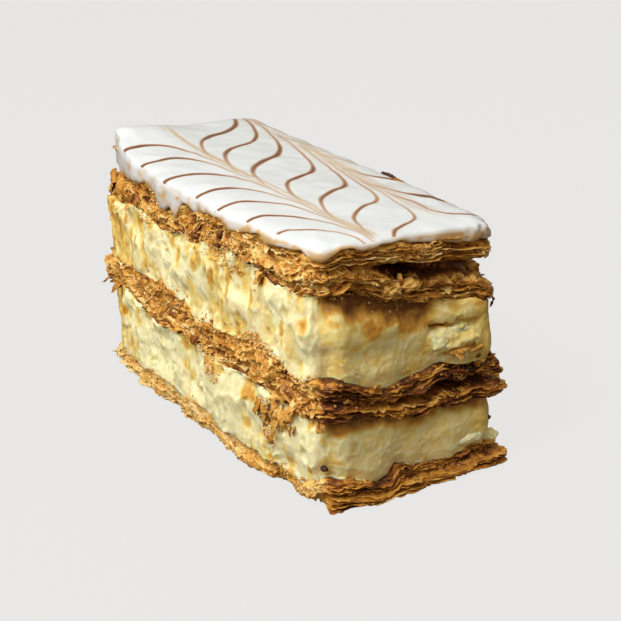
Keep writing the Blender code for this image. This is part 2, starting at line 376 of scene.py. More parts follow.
class Band:
    """Rings of a layer, one row for each: where each point is, its inset and its share of the height."""

    def __init__(self, layer, spots, keys, steps):
        """keys are (share, inset, drop), each a number or one for each spot; steps says how many rows
        lead from each key to the next, evenly spaced between the two."""
        count = len(spots.round)
        full = [[np.broadcast_to(np.asarray(part, float), (count,)) for part in key] for key in keys]
        rows = [np.array(full[0])]
        for low, high, number in zip(full, full[1:], steps):
            low, high = np.array(low), np.array(high)
            rows += [low + (high - low) * (i + 1) / number for i in range(number)]
        self.spots = spots
        self.share, self.inset, drop = np.array(rows).transpose(1, 0, 2)
        self.x, self.y = outline(spots, self.inset)
        self.low, self.high = seam(layer, spots, self.inset), seam(layer + 1, spots, self.inset)
        self.z = self.low + (self.high - self.low) * self.share - drop
        self.out_x, self.out_y = outward(spots)

    def push(self, out, up=0.0):
        """Moves the points outwards and up."""
        self.x = self.x + self.out_x * out
        self.y = self.y + self.out_y * out
        self.z = self.z + up

    def points(self):
        """All the points, row after row."""
        return np.stack((self.x, self.y, self.z), axis=-1).reshape(-1, 3)


def band_faces(rows, columns, closed_rows=False):
    """Quads between neighbouring rows of a grid whose columns close on themselves."""
    row = np.arange(rows if closed_rows else rows - 1)[:, None]
    column = np.arange(columns)[None, :]
    above, beside = (row + 1) % rows, (column + 1) % columns
    turn = ((row, column), (row, beside), (above, beside), (above, column))
    corners = [np.broadcast_to(start * columns + place, (len(row), columns)) for start, place in turn]
    return np.stack(corners, axis=-1).reshape(-1, 4)


def put_mesh(name, points, faces, material, attributes, replaced=(), caps=()):
    """What would reach below the table is pressed flat on it."""
    points = np.maximum(points, (-np.inf, -np.inf, 0.0))
    sizes = np.concatenate([np.full(len(faces), faces.shape[1]), np.array([len(cap) for cap in caps], int)])
    corners = np.concatenate([faces.ravel(), *caps]).astype(np.int32)
    mesh = bpy.data.meshes.new(name)
    mesh.vertices.add(len(points))
    mesh.vertices.foreach_set("co", (points * MM).astype(np.float32).ravel())
    mesh.loops.add(len(corners))
    mesh.loops.foreach_set("vertex_index", corners)
    mesh.polygons.add(len(sizes))
    mesh.polygons.foreach_set("loop_start", (np.cumsum(sizes) - sizes).astype(np.int32))
    mesh.update(calc_edges=True)
    mesh.shade_smooth()
    for key, values in attributes.items():
        layer = mesh.attributes.new(key, "FLOAT", "POINT")
        layer.data.foreach_set("value", np.asarray(values, dtype=np.float32).ravel())
    mesh.materials.append(material)
    piece = bpy.data.objects.new(name, mesh)
    bpy.context.scene.collection.objects.link(piece)
    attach(piece, BODY)
    if replaced:
        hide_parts(*replaced)


def closing(start, columns):
    """Faces that close a ring and face up: quads that each join two columns to the two that mirror them
    at the other side, and a triangle at each end."""
    k = np.arange(1, columns // 2 - 1)
    quads = start + np.stack((k, k + 1, columns - k - 1, columns - k), axis=-1)
    half = columns // 2
    return quads, (start + np.array([0, 1, columns - 1]), start + np.array([half - 1, half, half + 1]))


def put_band(name, band, material, attributes, replaced=()):
    """A band closed on its first ring and on its last."""
    rows, columns = band.x.shape
    under, under_ends = closing(0, columns)
    over, over_ends = closing((rows - 1) * columns, columns)
    faces = np.concatenate((band_faces(rows, columns), under[:, ::-1], over))
    caps = [cap[::-1] for cap in under_ends] + list(over_ends)
    put_mesh(name, band.points(), faces, material, attributes, replaced, caps)


# --- Pastry ---

WALL_COLUMNS = 1240
LEAF_COLUMNS = 760
LEAF_TORN = 0.75  # how far a leaf's edge wanders in and out


def crumb(x, y, z, seed, size=1.0):
    """The broken inside of baked leaves: flat bubbles about 3 mm wide, torn open, with thin walls between
    them, and finer ones in the walls. It is the distance to the nearest bubble's middle, in noise-bent
    space that is squeezed in height; from about -1 in a bubble to 1 on a wall."""
    bend = 0.9 * clouds(x, y, z, 2.4, seed + 5, octaves=2)
    wide = bubbles(x + bend, y - bend, 1.7 * (z + 0.5 * bend), 2.8 * size, seed)
    fine = bubbles(x, y + bend, 1.3 * z + bend, 1.1 * size, seed + 3)
    return 1.3 * (wide - 0.60) + 1.15 * (fine - 0.55)


def striations(x, y, height, pitch, seed):
    """Edges of thin leaves, stacked. The height is warped by slow noise and cut into leaves of one
    pitch. Each leaf is set out or back by its own noise along its edge, squared off so that it looks
    torn, and its edge is round. Returns the relief and each leaf's own shade, both about -1 to 1."""
    warp = 0.9 * clouds(x, y, height, (9.0, 9.0, 5.0), seed)
    warp = warp + 0.28 * clouds(x, y, height, (2.4, 2.4, 1.2), seed + 1)
    level = (height + warp) / pitch
    leaf = np.floor(level)
    across = level - leaf
    own = np.tanh(2.6 * clouds(x, y, leaf * 7.7, (2.8, 2.8, 1.0), seed + 2))
    shade = clouds(x, y, leaf * 5.1, (6.0, 6.0, 1.0), seed + 3)
    rounded = 1 - np.abs(2 * across - 1) ** 2.4
    return 0.62 * own + 0.62 * (rounded - 0.62), shade


# For each slab: its tone, how much darker its near end is as painted shade, and rows of points up its wall.
SLAB_TONE = {"pastry_bottom": 0.80, "pastry_middle": 0.55, "pastry_top": 0.57}
NEAR_END_SHADE = {"pastry_bottom": 0.42, "pastry_middle": 0.27, "pastry_top": 0.07}
SLAB_ROWS = {"pastry_bottom": 38, "pastry_middle": 46, "pastry_top": 50}

# How many loose leaves each bundle of a slab holds.
STACKS = {"pastry_bottom": (6, 5), "pastry_middle": (5, 3, 3), "pastry_top": (3, 2, 6)}

# Crumbs dragged over the cream: middle, half sizes and how thickly.
CLUSTERS = (
    ((-22.6, -31.0, 14.0), (3.0, 3.6, 6.0), 5.0),
    ((-22.6, -35.5, 16.5), (3.0, 3.6, 3.6), 4.0),
    ((-22.6, -9.5, 18.5), (3.0, 4.0, 3.2), 4.0),
    ((-22.6, -27.0, 29.4), (3.0, 7.0, 2.6), 2.2),
    ((-22.6, -17.0, 44.5), (3.0, 8.0, 1.8), 1.0),
    ((-22.6, 12.0, 45.0), (3.0, 8.0, 1.4), 1.0),
    ((-20.5, -43.0, 4.0), (3.0, 4.0, 1.6), 1.2),
    ((-3.0, -49.4, 40.5), (7.0, 3.0, 2.4), 0.2),
)

# Larger flaps of leaf: where each leaves the slab, the way it points, length, half width, bend and tone.
FLAPS = (
    ((-19.0, 41.0, 48.6), (-1.0, 0.3, -0.3), 5.0, 2.8, -2.6, 0.50),
    ((-19.4, 34.5, 48.4), (-1.0, 0.1, -0.4), 5.0, 2.7, -2.4, 0.60),
    ((-19.8, 28.5, 48.6), (-1.0, 0.0, -0.4), 4.6, 2.6, -2.4, 0.44),
    ((-18.4, 44.0, 45.0), (-1.0, 0.2, -0.7), 2.6, 1.4, -1.2, 0.60),
    ((-19.6, 40.0, 46.0), (-1.0, 0.1, -0.8), 3.2, 1.6, -1.4, 0.44),
    ((-20.0, 36.0, 46.0), (-1.0, -0.1, -0.8), 3.2, 1.8, -1.4, 0.62),
    ((-20.4, 31.5, 48.0), (-1.0, 0.0, -0.6), 3.2, 2.0, -1.4, 0.50),
    ((-20.6, 28.0, 45.6), (-1.0, 0.2, -0.7), 3.0, 1.6, -1.2, 0.60),
    ((-20.8, 23.0, 48.2), (-1.0, -0.2, -0.4), 3.0, 2.0, -1.2, 0.34),
    ((-21.0, -3.8, 48.8), (-1.0, 0.0, -0.6), 3.0, 0.8, -1.0, 0.66),
    ((-21.0, -6.6, 48.4), (-0.6, -0.1, -1.0), 4.6, 1.2, -0.5, 0.20),
    ((-21.2, -7.6, 45.6), (-0.8, -0.2, -1.0), 3.4, 1.0, -0.7, 0.26),
    ((-21.0, -16.0, 50.4), (-1.0, 0.1, -0.3), 2.8, 1.6, -1.0, 0.40),
    ((-21.0, -31.0, 46.0), (-1.0, 0.1, -0.3), 3.0, 1.5, -1.3, 0.62),
    ((-19.0, 45.0, 22.2), (-1.0, 0.4, -0.2), 3.2, 1.8, -0.6, 0.50),
    ((-19.8, 40.0, 23.0), (-1.0, 0.1, -0.3), 3.0, 2.0, -0.8, 0.46),
    ((-21.0, -1.0, 22.8), (-1.0, 0.0, -0.5), 3.0, 1.8, -1.0, 0.34),
    ((-21.2, -8.6, 20.6), (-1.0, 0.1, -0.8), 3.2, 1.2, -0.9, 0.50),
    ((-21.2, -11.4, 20.0), (-1.0, -0.2, -0.9), 3.0, 1.0, -0.9, 0.34),
    ((-21.2, -28.6, 18.0), (-0.8, 0.2, -0.9), 3.4, 1.2, -0.7, 0.50),
    ((-21.4, -31.0, 16.0), (-0.6, 0.0, -1.0), 3.6, 1.2, -0.5, 0.26),
    ((-21.4, -31.8, 13.0), (-0.5, 0.0, -1.0), 3.2, 1.0, -0.5, 0.34),
    ((-20.8, -33.6, 19.0), (-0.9, -0.3, -0.7), 3.2, 1.4, -0.9, 0.54),
    ((-20.9, -34.6, 16.4), (-0.8, 0.0, -1.0), 3.4, 1.8, -0.8, 0.56),
    ((-20.7, -37.0, 18.0), (-0.8, -0.1, -0.9), 3.6, 2.0, -1.0, 0.66),
    ((-20.5, -38.6, 16.2), (-0.7, -0.1, -1.0), 2.8, 1.5, -0.8, 0.44),
    ((-20.9, -33.4, 13.6), (-0.6, 0.0, -1.0), 2.6, 1.2, -0.6, 0.62),
    ((-20.0, -40.0, 20.6), (-0.9, -0.2, -0.4), 3.0, 1.3, -0.9, 0.60),
    ((-18.6, -46.0, 19.6), (-0.8, -0.8, -0.4), 3.2, 1.3, -0.8, 0.50),
    ((-15.5, -48.0, 46.4), (-0.2, -1.0, -0.1), 2.6, 3.0, 0.4, 0.50),
    ((-8.0, -48.4, 43.2), (0.1, -1.0, 0.2), 3.2, 0.45, 2.4, 0.70),
    ((-6.4, -47.4, 43.4), (-0.2, -1.0, 0.2), 2.6, 1.6, 1.6, 0.84),
    ((-4.8, -47.4, 42.6), (0.0, -1.0, -0.2), 2.8, 1.8, -1.6, 0.90),
    ((-2.6, -47.4, 43.4), (0.1, -1.0, 0.1), 2.8, 1.6, 1.2, 0.86),
    ((-0.4, -47.4, 42.8), (0.2, -1.0, -0.2), 2.8, 1.8, -1.6, 0.90),
    ((1.8, -47.4, 42.2), (0.1, -1.0, 0.2), 2.6, 1.6, 1.4, 0.78),
    ((3.0, -46.8, 44.4), (0.2, -1.0, 0.1), 2.6, 1.6, -0.8, 0.46),
    ((6.0, -47.6, 42.0), (0.1, -1.0, 0.1), 2.4, 1.6, 1.2, 0.70),
    ((9.5, -47.6, 41.6), (0.1, -1.0, 0.0), 2.6, 1.8, -1.2, 0.76),
    ((12.6, -47.6, 41.4), (0.1, -1.0, 0.1), 2.4, 1.8, 1.2, 0.66),
    ((15.6, -47.6, 40.6), (0.2, -1.0, 0.0), 2.4, 1.8, -1.2, 0.72),
    ((-12.0, -47.6, 47.4), (-0.2, -1.0, 0.1), 2.6, 1.6, 1.4, 0.66),
    ((-16.4, -47.2, 48.0), (-0.4, -1.0, -0.1), 2.6, 1.6, -1.4, 0.74),
    ((11.0, -47.4, 27.4), (0.1, -1.0, 0.2), 2.6, 1.6, -1.2, 0.66),
    ((14.6, -47.4, 27.2), (0.2, -1.0, 0.3), 2.4, 1.6, 1.2, 0.56),
    ((17.0, -47.8, 38.6), (0.3, -1.0, -0.3), 2.8, 2.4, -0.7, 0.36),
    ((21.0, -46.4, 36.4), (1.0, -0.5, -0.3), 4.6, 0.4, -2.2, 0.12),
    ((20.6, -46.4, 47.6), (0.8, -0.6, -0.7), 3.0, 1.5, -1.2, 0.80),
    ((18.6, -47.6, 47.0), (0.3, -1.0, -0.5), 2.6, 1.6, -1.2, 0.74),
    ((13.0, -45.4, 20.4), (0.5, -1.0, 0.1), 5.2, 6.0, 0.1, 0.24),
    ((4.0, -47.0, 18.6), (0.1, -1.0, -0.1), 3.4, 4.0, -0.3, 0.24),
    ((-1.0, -48.6, 4.2), (0.1, -1.0, 0.3), 2.2, 2.2, -1.6, 0.30),
    ((-14.0, -48.0, 4.0), (-0.1, -1.0, 0.1), 2.4, 2.4, -0.4, 0.50),
)

# Lumps of cream, and lumps of crumb with some dark ones: middle, half sizes, and stain or tone.
LUMPS = {
    "cream_lumps": (
        ((14.3, -49.3, 7.0), (3.8, 1.2, 1.2), 0.0),
        ((20.4, -47.8, 4.6), (2.0, 1.6, 1.7), 0.04),
        ((7.6, -49.2, 29.7), (2.4, 1.0, 1.6), 0.08),
        ((11.4, -49.2, 30.8), (2.8, 1.0, 1.1), 0.08),
        ((14.4, -49.1, 30.9), (1.8, 0.9, 0.8), 0.12),
    ),
    "crumb_lumps": (
        ((-3.4, -49.0, 43.6), (2.6, 1.8, 1.4), 0.72),
        ((0.6, -49.0, 43.4), (2.4, 1.6, 1.2), 0.70),
        ((-0.6, -48.8, 45.4), (0.6, 0.8, 1.1), 0.62),
        ((12.6, -48.9, 27.7), (2.6, 1.2, 0.9), 0.62),
        ((16.0, -48.7, 27.2), (1.8, 1.0, 0.8), 0.66),
        ((-22.0, -29.6, 14.8), (0.9, 1.5, 2.4), 0.68),
        ((-22.0, -31.6, 10.6), (0.7, 1.1, 1.8), 0.50),
        ((-22.0, -33.4, 17.0), (0.9, 1.6, 1.6), 0.74),
        ((-21.8, -36.2, 16.6), (0.8, 1.7, 1.7), 0.66),
        ((-21.6, -38.4, 17.6), (0.8, 1.3, 1.3), 0.56),
        ((-18.8, -46.6, 8.4), (0.8, 0.8, 0.6), -0.06),
        ((20.0, -48.2, 9.2), (0.6, 0.7, 0.5), 0.06),
        ((-22.1, -7.6, 19.0), (0.9, 1.8, 2.0), 0.66),
        ((-22.1, -10.8, 18.2), (0.8, 1.3, 2.0), 0.50),
        ((21.3, -12.2, 52.7), (0.45, 2.8, 0.35), 0.02),
        ((21.2, -15.4, 52.5), (0.40, 2.4, 0.25), 0.30),
        ((-22.0, -30.0, 16.6), (1.0, 1.2, 1.4), 0.56),
        ((20.9, -47.2, 46.2), (0.9, 0.9, 1.2), 0.84),
    ),
}

# Places where a slab is darker or paler, more leafy or more crumbly, and hollowed (-) or full (+):
# middle, half sizes, tone, leafiness and push. A dark place that is also hollowed paints the shade in its
# hollow.
PASTRY_MARKS = {
    "pastry_bottom": (
        ((-22.0, -33.0, 1.2), (4.0, 6.0, 1.2), -0.30, 0.3, -0.5),
        ((-10.0, -49.6, 3.4), (5.0, 4.0, 0.5), -0.40, 0.2, -0.7),
        ((16.0, -49.6, 2.0), (9.0, 4.0, 4.0), -0.12, 0.3, 0.0),
    ),
    "pastry_middle": (
        ((-21.0, 44.0, 24.5), (5.0, 8.0, 3.5), -0.06, 0.7, 0.0),
        ((-22.5, 9.0, 25.4), (4.0, 3.0, 1.6), -0.32, 0.0, -0.7),
        ((-22.5, -3.0, 24.2), (4.0, 3.0, 1.2), -0.36, 0.2, -0.7),
        ((-22.5, -12.5, 23.2), (4.0, 5.0, 1.2), -0.36, 0.6, -0.5),
        ((-22.5, -28.0, 26.0), (4.0, 7.0, 2.0), 0.12, -0.4, 0.3),
        ((-22.0, -37.5, 26.6), (4.0, 2.5, 1.2), -0.36, 0.0, -0.7),
        ((-21.0, -40.0, 22.0), (4.0, 6.0, 2.0), -0.10, 0.7, 0.0),
        ((13.0, -49.6, 27.2), (9.0, 5.0, 1.6), 0.24, -0.3, 0.2),
        ((14.0, -49.6, 22.4), (10.0, 9.0, 1.8), -0.20, 0.4, -0.4),
    ),
    "pastry_top": (
        ((-21.0, 36.0, 48.0), (5.0, 12.0, 4.0), -0.12, 0.8, 0.0),
        ((-22.0, 18.5, 50.0), (4.0, 3.0, 2.6), -0.34, 0.0, -0.8),
        ((-22.5, -5.0, 48.0), (4.0, 2.0, 6.0), -0.40, 0.3, -1.3),
        ((-22.5, -14.0, 51.6), (4.0, 5.0, 1.8), -0.20, 0.3, -0.3),
        ((-22.5, -27.0, 49.0), (4.0, 8.0, 3.0), 0.14, -0.4, 0.3),
        ((-22.5, 12.0, 46.5), (4.0, 8.0, 1.6), 0.14, -0.4, 0.2),
        ((-21.0, -45.0, 49.0), (4.0, 7.0, 4.0), 0.14, 0.2, 0.1),
        ((-22.5, -38.0, 46.6), (4.0, 6.0, 1.0), -0.34, 0.2, -0.5),
        ((-12.0, -49.6, 47.5), (6.0, 4.0, 2.4), 0.16, -0.5, 0.2),
    ),
}


def inside(point, middle, half):
    """1 well inside an ellipsoid and 0 outside, with a soft rim, for arrays of x, y and z."""
    away = sum(((value - at) / size) ** 2 for value, at, size in zip(point, middle, half))
    return ease(1.3, 0.4, np.sqrt(away))


def wall_profile(layer, spots):
    """The keys and steps of a slab's wall: out to each bundle of leaves, whose edge stands upright, and
    back into the groove below the next one, deep where a split stands open."""
    name = NAMES[layer]
    left, *_ = sides(spots)
    depth = 0.35 * GROOVE * left + GROOVE * (1 - left)
    keys, steps, below = [(0.0, RIM, 0.0), (0.0, 3.0, 0.0)], [2], 0.0
    for number in range(len(BUNDLES[name])):
        low, high = bundle_span(layer, number, spots)
        edge = leaf_edge(layer, number, spots)
        if number:
            split = SPLIT_DEPTH * gape(spots) if SPLIT.get(name) == number else 0.0
            if name == "pastry_top":
                split = split * (1 - 0.5 * ease(4.0, 10.0, spots.across * WIDTH / 2))
            keys.append(((below + low) / 2, edge + depth + split, 0.0))
            steps.append(7)
        start = np.maximum(low, 0.14) if (layer, number) == (0, 0) else low
        top = high - 0.03 if name == "pastry_top" and number == 2 else high
        keys.append((start, edge + (0.25 if number else 0.5), 0.0))
        steps.append(6 if number else 4)
        keys.append((top, edge + 0.2, 0.0))
        steps.append(max(6, round(SLAB_ROWS[name] * float(np.mean(top - start)) * 0.9)))
        below = high
    return [*keys, (1.0, 3.0, 0.0), (1.0, RIM, 0.0)], [*steps, 4, 2]


def pastry_wall(layer, pitch):
    """A slab's body: the bundles and grooves of the solid, with crumb on the side at -X and leaf edges
    on the other sides laid over them. Returns it and its tone, which holds painted light and shade: paler
    where the relief stands out, darker where it sinks, deep in the grooves, along the slab's lower edge at
    -X and over the near end."""
    name = NAMES[layer]
    spots = rim_spots(WALL_COLUMNS)
    left, near, *_ = sides(spots)
    open_split = gape(spots)
    band = Band(layer, spots, *wall_profile(layer, spots))
    deep = band.inset - leaf_edge(layer, len(BUNDLES[name]) - 1, spots)
    point = (band.x, band.y, band.z)
    skin = ease(-0.01, 0.05 if layer == 0 else 0.02, band.share) * ease(-0.01, 0.02, 1 - band.share)
    shown = ease(4.5, 1.5, band.inset - leaf_edge(layer, 0, spots)) * skin
    tone_mark, leafy, push = np.zeros(band.x.shape), np.zeros(band.x.shape), np.zeros(band.x.shape)
    bend = 0.35 * clouds(*point, 2.2, layer + 90, octaves=2)
    for middle, half, darker, more_leafy, out in PASTRY_MARKS[name]:
        there = inside((band.x, band.y + 2 * bend, band.z + bend), middle, half)
        tone_mark += darker * there
        leafy += more_leafy * there
        push += out * there
    leaves, shade = striations(band.x, band.y, band.z - band.low, pitch, 11 * layer + 3)
    crumbs = crumb(*point, 7 * layer + 2, 0.45 if layer == 0 else 0.9)
    broken = 0.78 * left + 0.18 * near + 0.14 + 0.30 * clouds(*point, 5.0, layer + 40) - leafy
    broken = np.clip(broken, 0.0, 1.0)
    relief = leaves * (1 - broken) + crumbs * broken
    fine = 0.55 if layer == 0 else 1.0
    rough = 0.8 * fine * clouds(*point, (5.0, 5.0, 2.6), layer + 50, octaves=3)
    out = (relief * (0.85 - 0.15 * broken) * fine + rough + push - 0.4) * shown
    band.z = band.z + 0.45 * clouds(*point, 1.3, layer + 80, octaves=2) * ease(4.0, 2.0, band.inset) * skin
    band.push(out, 0.2 * clouds(*point, 1.1, layer + 60) * skin)
    # Where a split gapes on the near end, its shelf gets less of the painted groove shade, and streaks.
    shelf = open_split * ease(0.55, 0.45, band.share) * (name == "pastry_middle")
    shelf = shelf + 0.4 * open_split * (name == "pastry_top") * ease(0.0, 8.0, band.x)
    streaks = clouds(band.x, band.y, band.z, (12.0, 1.4, 0.7), layer + 95, octaves=2)
    # Painted shade along the slab's lower edge on the side at -X, where it overhangs the cream.
    under = left * (ease(0.12, 0.02, band.share) if layer else 0.0)
    # Painted light and shade: the tone follows the relief, paler where it stands out and darker where it
    # sinks.
    tone = SLAB_TONE[name] + (0.32 + 0.12 * left * (name == "pastry_top")) * relief
    # Each leaf's own random tone, and painted shade deep in the grooves and the gaping split, less on its
    # shelf.
    tone = tone + 0.10 * shade * (1 - broken) - 0.50 * ease(0.6, 4.0, deep) * (1 - 0.6 * shelf)
    tone = tone + 0.14 * clouds(*point, (6.0, 6.0, 3.0), layer + 70, octaves=2) + 0.12 * streaks * shelf
    # Painted shade: the near end darker by NEAR_END_SHADE, and the lower edge at -X darker by under.
    tone = tone + tone_mark - NEAR_END_SHADE[name] * near - 0.30 * under
    return band, np.clip(tone, 0.0, 1.0)


def leaf_sheet(layer, number, part, reach, seed):
    """One thin leaf that runs round the slab: a closed ribbon from 5 mm inside to its torn edge. part
    is its height in the bundle. Its thickness falls from 0.5 mm to 0.15 mm at the edge, which waves
    and curls up or down by slow noise. It stands back on the side at -X, where the crumb was cut."""
    name = NAMES[layer]
    spots = rim_spots(LEAF_COLUMNS)
    left, near, *_ = sides(spots)
    x, y = outline(spots, 0.0)
    place = seed * 3.7
    slow = clouds(x, y, place, (7.0, 7.0, 1.0), 71)
    torn = np.tanh(3.0 * clouds(x, y, place, (2.6, 2.6, 1.0), 72))
    fine = clouds(x, y, place, (0.8, 0.8, 1.0), 73, octaves=2)
    edge = leaf_edge(layer, number, spots) - reach
    back = left * np.where(y > 26.0, 0.3, 0.9) * (2.0 if layer == 0 else 1.0)
    edge = edge + LEAF_TORN * (1 + 0.5 * left) * (0.5 * slow + 0.45 * torn + 0.55 * fine) + back + 0.2
    if name == "pastry_top":
        behind = 0.6 * ease(0.8, 2.5, fall(spots)) * (number == 2)
        edge = np.maximum(edge, icing_inset(spots) - TUCK - 0.3 + behind)
    curl = 0.75 * clouds(x, y, place + 9, (5.0, 5.0, 1.0), 74)
    curl = curl + 0.5 * clouds(x, y, place, (1.8, 1.8, 1.0), 75)
    curl = curl * (1 + 0.6 * left - 0.6 * near) * (0.6 if layer == 0 else 1.0)
    edge = edge - (0.9 * near if (layer, number) == (0, 0) else 0.0)
    t = np.array([0.0, 0.6, 0.85, 0.96, 1.0])[:, None]
    inset = 5.0 + (edge - 5.0) * t
    thick = 0.17 + 0.33 * (1 - t) * np.ones_like(edge)
    leaf_x, leaf_y = outline(spots, inset)
    low, high = seam(layer, spots, inset), seam(layer + 1, spots, inset)
    bundle_low, bundle_high = bundle_span(layer, number, spots)
    share = bundle_low + (bundle_high - bundle_low) * part
    wander = 0.05 * (1 - 0.4 * near) * clouds(leaf_x, leaf_y, place, (9.0, 9.0, 1.0), 76, octaves=2)
    z = low + (high - low) * np.clip(share + wander, 0.03, 0.965)
    z = z + curl * t**4 + 0.14 * clouds(leaf_x, leaf_y, place, 1.0, 77, octaves=2) * t
    z = np.clip(z, low + 0.15, high - 0.15)
    rows_x = np.concatenate((leaf_x, leaf_x[::-1]))
    rows_y = np.concatenate((leaf_y, leaf_y[::-1]))
    rows_z = np.concatenate((z - thick / 2, (z + thick / 2)[::-1]))
    own = 0.36 * (lattice(np.int64(seed), np.int64(5), np.int64(layer), 9) - 0.5)
    patch = 0.24 * clouds(leaf_x, leaf_y, place, (4.0, 4.0, 1.0), 78)
    even = 0.55 if layer == 0 else 1.0
    # Painted light and shade: darker deeper in between the leaves and paler towards the torn edge, partly a
    # painted highlight.
    tone = SLAB_TONE[name] - 0.16 * even + (0.34 - 0.12 * near) * t**3 * even
    # Painted shade over the near end.
    tone = tone - NEAR_END_SHADE[name] * near + (own + patch) * even
    for middle, half, darker, *_ in PASTRY_MARKS[name]:
        tone = tone + darker * inside((leaf_x, leaf_y, z), middle, half)
    # Painted shade on each leaf's underside and painted light on its upper face.
    tone = np.concatenate((tone - 0.06, tone[::-1] + 0.04))
    return np.stack((rows_x, rows_y, rows_z), axis=-1), tone


def leaf_stack(layer, counts):
    """The leaves of a slab, some in each bundle, evenly stepped through the bundle's height."""
    points, faces, tones, start = [], [], [], 0
    for number, count in enumerate(counts):
        for i in range(count):
            seed = 100 * layer + 10 * number + i
            reach = 0.3 * (lattice(np.int64(seed), np.int64(1), np.int64(1), 4) - 0.5)
            sheet, tone = leaf_sheet(layer, number, (i + 0.5) / count, float(reach), seed)
            points.append(sheet.reshape(-1, 3))
            tones.append(np.clip(tone, 0, 1).ravel())
            faces.append(band_faces(*sheet.shape[:2], closed_rows=True) + start)
            start += len(points[-1])
    return np.concatenate(points), np.concatenate(faces), np.concatenate(tones)


# --- Cream ---

CREAM_COLUMNS = 1180
CREAM_ROWS = {"cream_lower": 13, "cream_upper": 15}  # rows of points in each quarter of a band's height

# Brown smears under a slab on the near end, darkest just under the slab, where they paint its shade: where
# each starts and ends in X, depth and strength.
SMEARS_AND_SHADE = {"cream_lower": (-21.0, 20.0, 2.6, 0.85), "cream_upper": (-19.5, 9.0, 5.6, 1.0)}

# Browned juice and bits of leaf pressed into the cream, and some painted shade: middle, half sizes and
# strength.
CREAM_MARKS = (
    ((-22.0, 24.5, 37.5), (3.0, 0.8, 3.4), 0.50),
    ((-22.0, 30.6, 41.6), (3.0, 1.0, 2.0), 0.50),
    ((-21.6, 36.8, 37.0), (3.0, 1.1, 4.2), 0.55),
    ((-21.2, 40.5, 41.0), (3.0, 0.9, 2.6), 0.50),
    ((-21.0, 42.5, 31.0), (3.0, 1.0, 3.6), 0.45),
    ((-22.5, 3.0, 40.0), (3.0, 0.9, 3.2), 0.45),
    ((-22.5, -27.0, 40.0), (3.0, 0.8, 2.6), 0.45),
    ((-22.0, -37.0, 36.0), (3.0, 1.0, 2.2), 0.46),
    ((-22.0, 28.1, 38.9), (3.0, 1.0, 3.0), 0.55),
    ((-21.5, 33.1, 39.4), (3.0, 1.1, 2.6), 0.45),
    ((-22.6, -6.8, 42.6), (3.0, 1.7, 2.2), 0.40),
    ((-22.5, -12.5, 40.3), (3.0, 1.1, 2.4), 0.55),
    ((-22.4, -19.1, 43.4), (3.0, 0.8, 2.8), 0.50),
    ((-22.5, -16.0, 35.7), (3.0, 1.0, 0.9), 0.50),
    ((-21.8, -31.2, 44.7), (3.0, 1.8, 1.4), 0.60),
    ((-22.2, -23.5, 44.2), (3.0, 2.0, 1.4), 0.60),
    ((-22.6, -3.3, 35.3), (3.0, 0.8, 3.2), 0.35),
    ((-21.1, 37.6, 16.6), (3.0, 1.6, 1.7), 0.60),
    ((-20.5, 41.7, 10.7), (3.0, 1.2, 1.6), 0.35),
    ((-22.3, -22.9, 17.6), (3.0, 2.2, 1.8), 0.50),
    ((-22.3, -21.9, 10.4), (3.0, 1.8, 1.6), 0.30),
    ((-21.0, 47.0, 38.0), (4.0, 2.0, 7.0), 0.40),
    ((-22.5, -5.0, 41.0), (3.0, 1.4, 2.6), 0.42),
    ((-22.5, -11.5, 39.0), (3.0, 1.0, 1.8), 0.55),
    ((-22.5, -18.0, 40.0), (3.0, 0.8, 5.0), 0.42),
    ((-22.5, -25.0, 17.6), (3.0, 2.0, 1.6), 0.52),
    ((-17.8, -49.0, 9.6), (3.2, 3.0, 0.8), 0.40),
    ((-20.8, -46.4, 7.2), (1.2, 2.0, 1.5), 0.50),
    # Painted shade: these two darken the near end's corner at +X.
    ((21.0, -48.4, 29.5), (4.6, 4.0, 7.5), 0.38),
    ((20.5, -48.4, 13.0), (5.0, 4.0, 6.0), 0.42),
    ((-8.5, -49.4, 37.0), (3.4, 3.0, 3.0), 0.55),
    ((-20.7, -46.8, 38.9), (0.9, 4.0, 2.4), 0.66),
    ((4.0, -49.4, 30.0), (1.8, 3.0, 2.4), 0.28),
    ((-16.8, -49.4, 39.4), (2.4, 3.0, 1.2), 0.36),
    ((-12.0, -49.4, 33.6), (1.8, 3.0, 0.8), 0.32),
    ((-1.0, -49.4, 34.0), (2.0, 3.0, 1.4), 0.30),
    # Painted shadow in the hollow above the torn ledge.
    ((7.8, -49.4, 33.2), (2.8, 3.0, 0.8), 0.80),
    ((19.5, -49.4, 34.5), (2.2, 3.0, 2.4), 0.52),
    ((13.4, -49.4, 27.8), (3.4, 3.0, 1.4), 0.56),
    ((11.0, -49.4, 27.6), (3.4, 3.0, 1.2), 0.62),
    ((-17.0, -49.4, 17.4), (4.5, 3.0, 2.2), 0.60),
    ((-19.5, -49.4, 12.4), (1.6, 3.0, 0.9), 0.42),
    ((-20.5, -43.0, 7.0), (3.0, 0.8, 1.6), 0.56),
)


